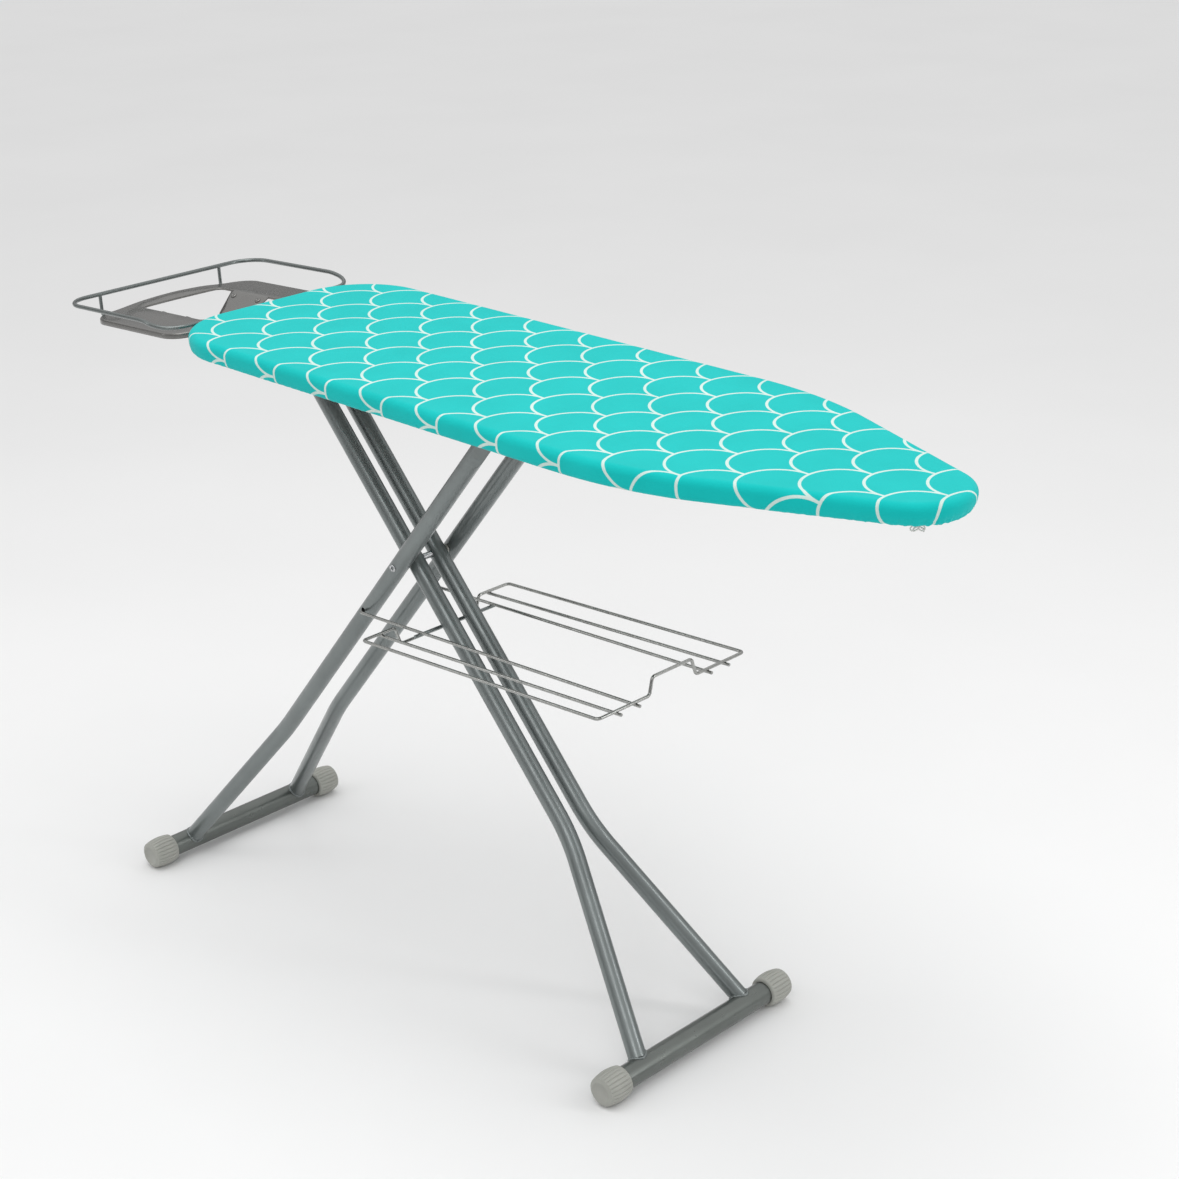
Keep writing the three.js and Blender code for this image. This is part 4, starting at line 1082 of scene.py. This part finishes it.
def turned(name, node, body, slot, matrix, profile, x=0, flip=False):
    v, f = lathe(profile, 40)
    v = [(x + a, -b if flip else b, c) for a, b, c in v]
    piece(name, body, slot, [node], v, f, matrix)


head = OUTER_Y + TUBE + 0.3
axle = []
for sign in (-1, 1):
    half = [(0, head - 9), (2.3, head - 9), (2.5, head + 0.7), (3.1, head + 1.3), (3.9, head + 1.6),
            (4.9, head + 1.1), (5.4, head + 0.3), (5.4, head - 0.2), (3.0, head - 0.2)]
    axle += [(r, sign * y) for r, y in (half if sign < 0 else reversed(half))]
turned("cross_axle_rivet", "cross_axle", "inner_leg", "plated_steel", INNER, axle)
sleeve = INNER_Y - TUBE - 0.3
turned("axle_sleeve_tube", "axle_sleeve", "inner_leg", "plated_steel", INNER,
       [(3.3, -sleeve), (4.3, -sleeve), (4.6, -sleeve + 0.3), (4.6, sleeve - 0.3), (4.3, sleeve),
        (3.3, sleeve), (3.3, -sleeve)])
for hand, side in HANDS:
    a, b = INNER_Y + TUBE + 0.3, OUTER_Y - TUBE - 0.3
    turned(f"axle_bush_{hand}", f"axle_spacer_{hand}", "inner_leg", "grey_plastic", INNER,
           [(3.3, a), (6.1, a), (6.5, a + 0.4), (6.5, b - 0.4), (6.1, b), (3.3, b), (3.3, a)], flip=side < 0)
turned("inner_top_pin", "inner_top_rod", "inner_leg", "plated_steel", INNER,
       [(0, -46), (4.4, -46), (5, -45.4), (5, 45.4), (4.4, 46), (0, 46)], -INNER_UPPER)
turned("outer_top_pin", "outer_top_rod", "outer_leg", "plated_steel", OUTER,
       [(0, -82), (4.4, -82), (5, -81.4), (5, 81.4), (4.4, 82), (0, 82)], OUTER_UPPER)
for hand, side in HANDS:
    turned(f"slide_bush_{hand}", f"slider_{hand}", "outer_leg", "black_plastic", OUTER,
           [(5.3, 68.5), (9.6, 68.5), (10, 68.9), (10, 71), (9.6, 71.4), (6.2, 71.4), (6.2, 75), (5.3, 75),
            (5.3, 68.5)], OUTER_UPPER, flip=side < 0)
    turned(f"rod_end_cap_{hand}", f"rod_cap_{hand}", "outer_leg", "black_plastic", OUTER,
           [(5.3, 76.5), (9.6, 76.5), (10, 76.9), (10, 78), (7.5, 79), (7.5, 83), (6.4, 84), (0, 84),
            (0, 82.3), (5.3, 82.3), (5.3, 76.5)], OUTER_UPPER, flip=side < 0)
low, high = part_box("rack_rest_rod")
rod = (low + high) / 2
v, f = lathe([(0, -74), (2.0, -74), (2.5, -73.5), (2.5, 73.5), (2.0, 74), (0, 74)], 32)
spot = INNER.inverted() @ rod
v = [(spot.x + a, b, spot.z + c) for a, b, c in v]
piece("rack_rest_bar", "inner_leg", "grey_paint", ["rack_rest_rod"], v, f, INNER)

# ---- rack --------------------------------------------------------------------------------
half = RACK_HALF
heel_side = [(RACK_HEEL, y, z) for y, z in ((half, 0), (78, 0), (70, -25), (-70, -25), (-78, 0), (-half, 0))]
nose_side = [(RACK_LENGTH, y, z) for y, z in ((-half, 0), (-43, 0), (-36, 23), (36, 23), (43, 0), (half, 0))]
v, f, _ = tube(rounded(heel_side + nose_side, 6, 8, True), RACK_WIRE, 20, closed=True)
piece("rack_frame_wire", "rack", "bright_wire", ["rack_frame"], v, f, RACK)
below = -2 * RACK_WIRE - 0.3
for hand, side in HANDS:
    y = side * 66.5
    line = rounded([(0, side * (OUTER_Y + 3), 0), (0, y, 0), (RACK_LENGTH + 6, y, below)], 4.5, 10)
    v, f, _ = tube(line, RACK_WIRE, 20, round_ends=True)
    piece(f"rack_long_wire_{hand}", "rack", "bright_wire", [f"rack_hook_wire_{hand}"], v, f, RACK)
    y = side * 100
    v, f, _ = tube([(RACK_HEEL - 6, y, below), (RACK_LENGTH + 6, y, below)], RACK_WIRE, 20, round_ends=True)
    piece(f"rack_side_wire_{hand}", "rack", "bright_wire", [f"rack_wire_{hand}"], v, f, RACK)

# ---- floor and light ---------------------------------------------------------------------
floor_shade = Shade("floor", Roughness=0.7, Specular_IOR_Level=0.2)
floor_where = floor_shade.place()
floor_tone = floor_shade.span(floor_shade.noise(floor_where, 1.5, 4.0), 0.3, 0.7, 0, 1)
floor_shade.set(Base_Color=floor_shade.blend(floor_tone, (0.88, 0.88, 0.88, 1), (0.9, 0.9, 0.9, 1)))
mesh = bpy.data.meshes.new("floor")
edge = FLOOR_HALF
mesh.from_pydata([(-edge, -edge, 0), (edge, -edge, 0), (edge, edge, 0), (-edge, edge, 0)], [], [(0, 1, 2, 3)])
mesh.materials.append(floor_shade.material)
floor = bpy.data.objects.new("floor", mesh)
scene.collection.objects.link(floor)
floor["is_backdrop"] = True


def area_light(name, place, target, size, power, tall=None):
    """A square or tall soft light, aimed at a target."""
    lamp = bpy.data.lights.new(name, "AREA")
    lamp.energy = power
    lamp.size = size
    if tall:
        lamp.shape = "RECTANGLE"
        lamp.size_y = tall
    made = bpy.data.objects.new(name, lamp)
    scene.collection.objects.link(made)
    made.location = place
    made.rotation_mode = "QUATERNION"
    made.rotation_quaternion = (Vector(target) - Vector(place)).to_track_quat("-Z", "Y")


world = bpy.data.worlds.new("studio")
world.use_nodes = True
nodes = world.node_tree.nodes
links = world.node_tree.links
sky = nodes.new("ShaderNodeTexCoord")
split = nodes.new("ShaderNodeSeparateXYZ")
ramp = nodes.new("ShaderNodeMapRange")
ramp.interpolation_type = "SMOOTHSTEP"
for key, value in (("From Min", 0.02), ("From Max", 0.75), ("To Min", 0.22), ("To Max", 0.93)):
    ramp.inputs[key].default_value = value
links.new(sky.outputs["Generated"], split.inputs[0])
links.new(split.outputs[2], ramp.inputs[0])
links.new(ramp.outputs[0], nodes["Background"].inputs[1])
nodes["Background"].inputs[0].default_value = (1, 1, 1, 1)
scene.world = world
area_light("top", (0.0, -0.2, 3.2), LOOK_AT, 2.0, 24)
area_light("front", (1.6, -2.24, 2.5), LOOK_AT, 1.3, 11)
area_light("left", (-2.4, -2.4, 1.8), LOOK_AT, 0.7, 7, 2.2)
area_light("right", (2.6, 1.4, 1.5), (0.2, 0, 0.6), 0.4, 14, 2.0)

low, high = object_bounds()
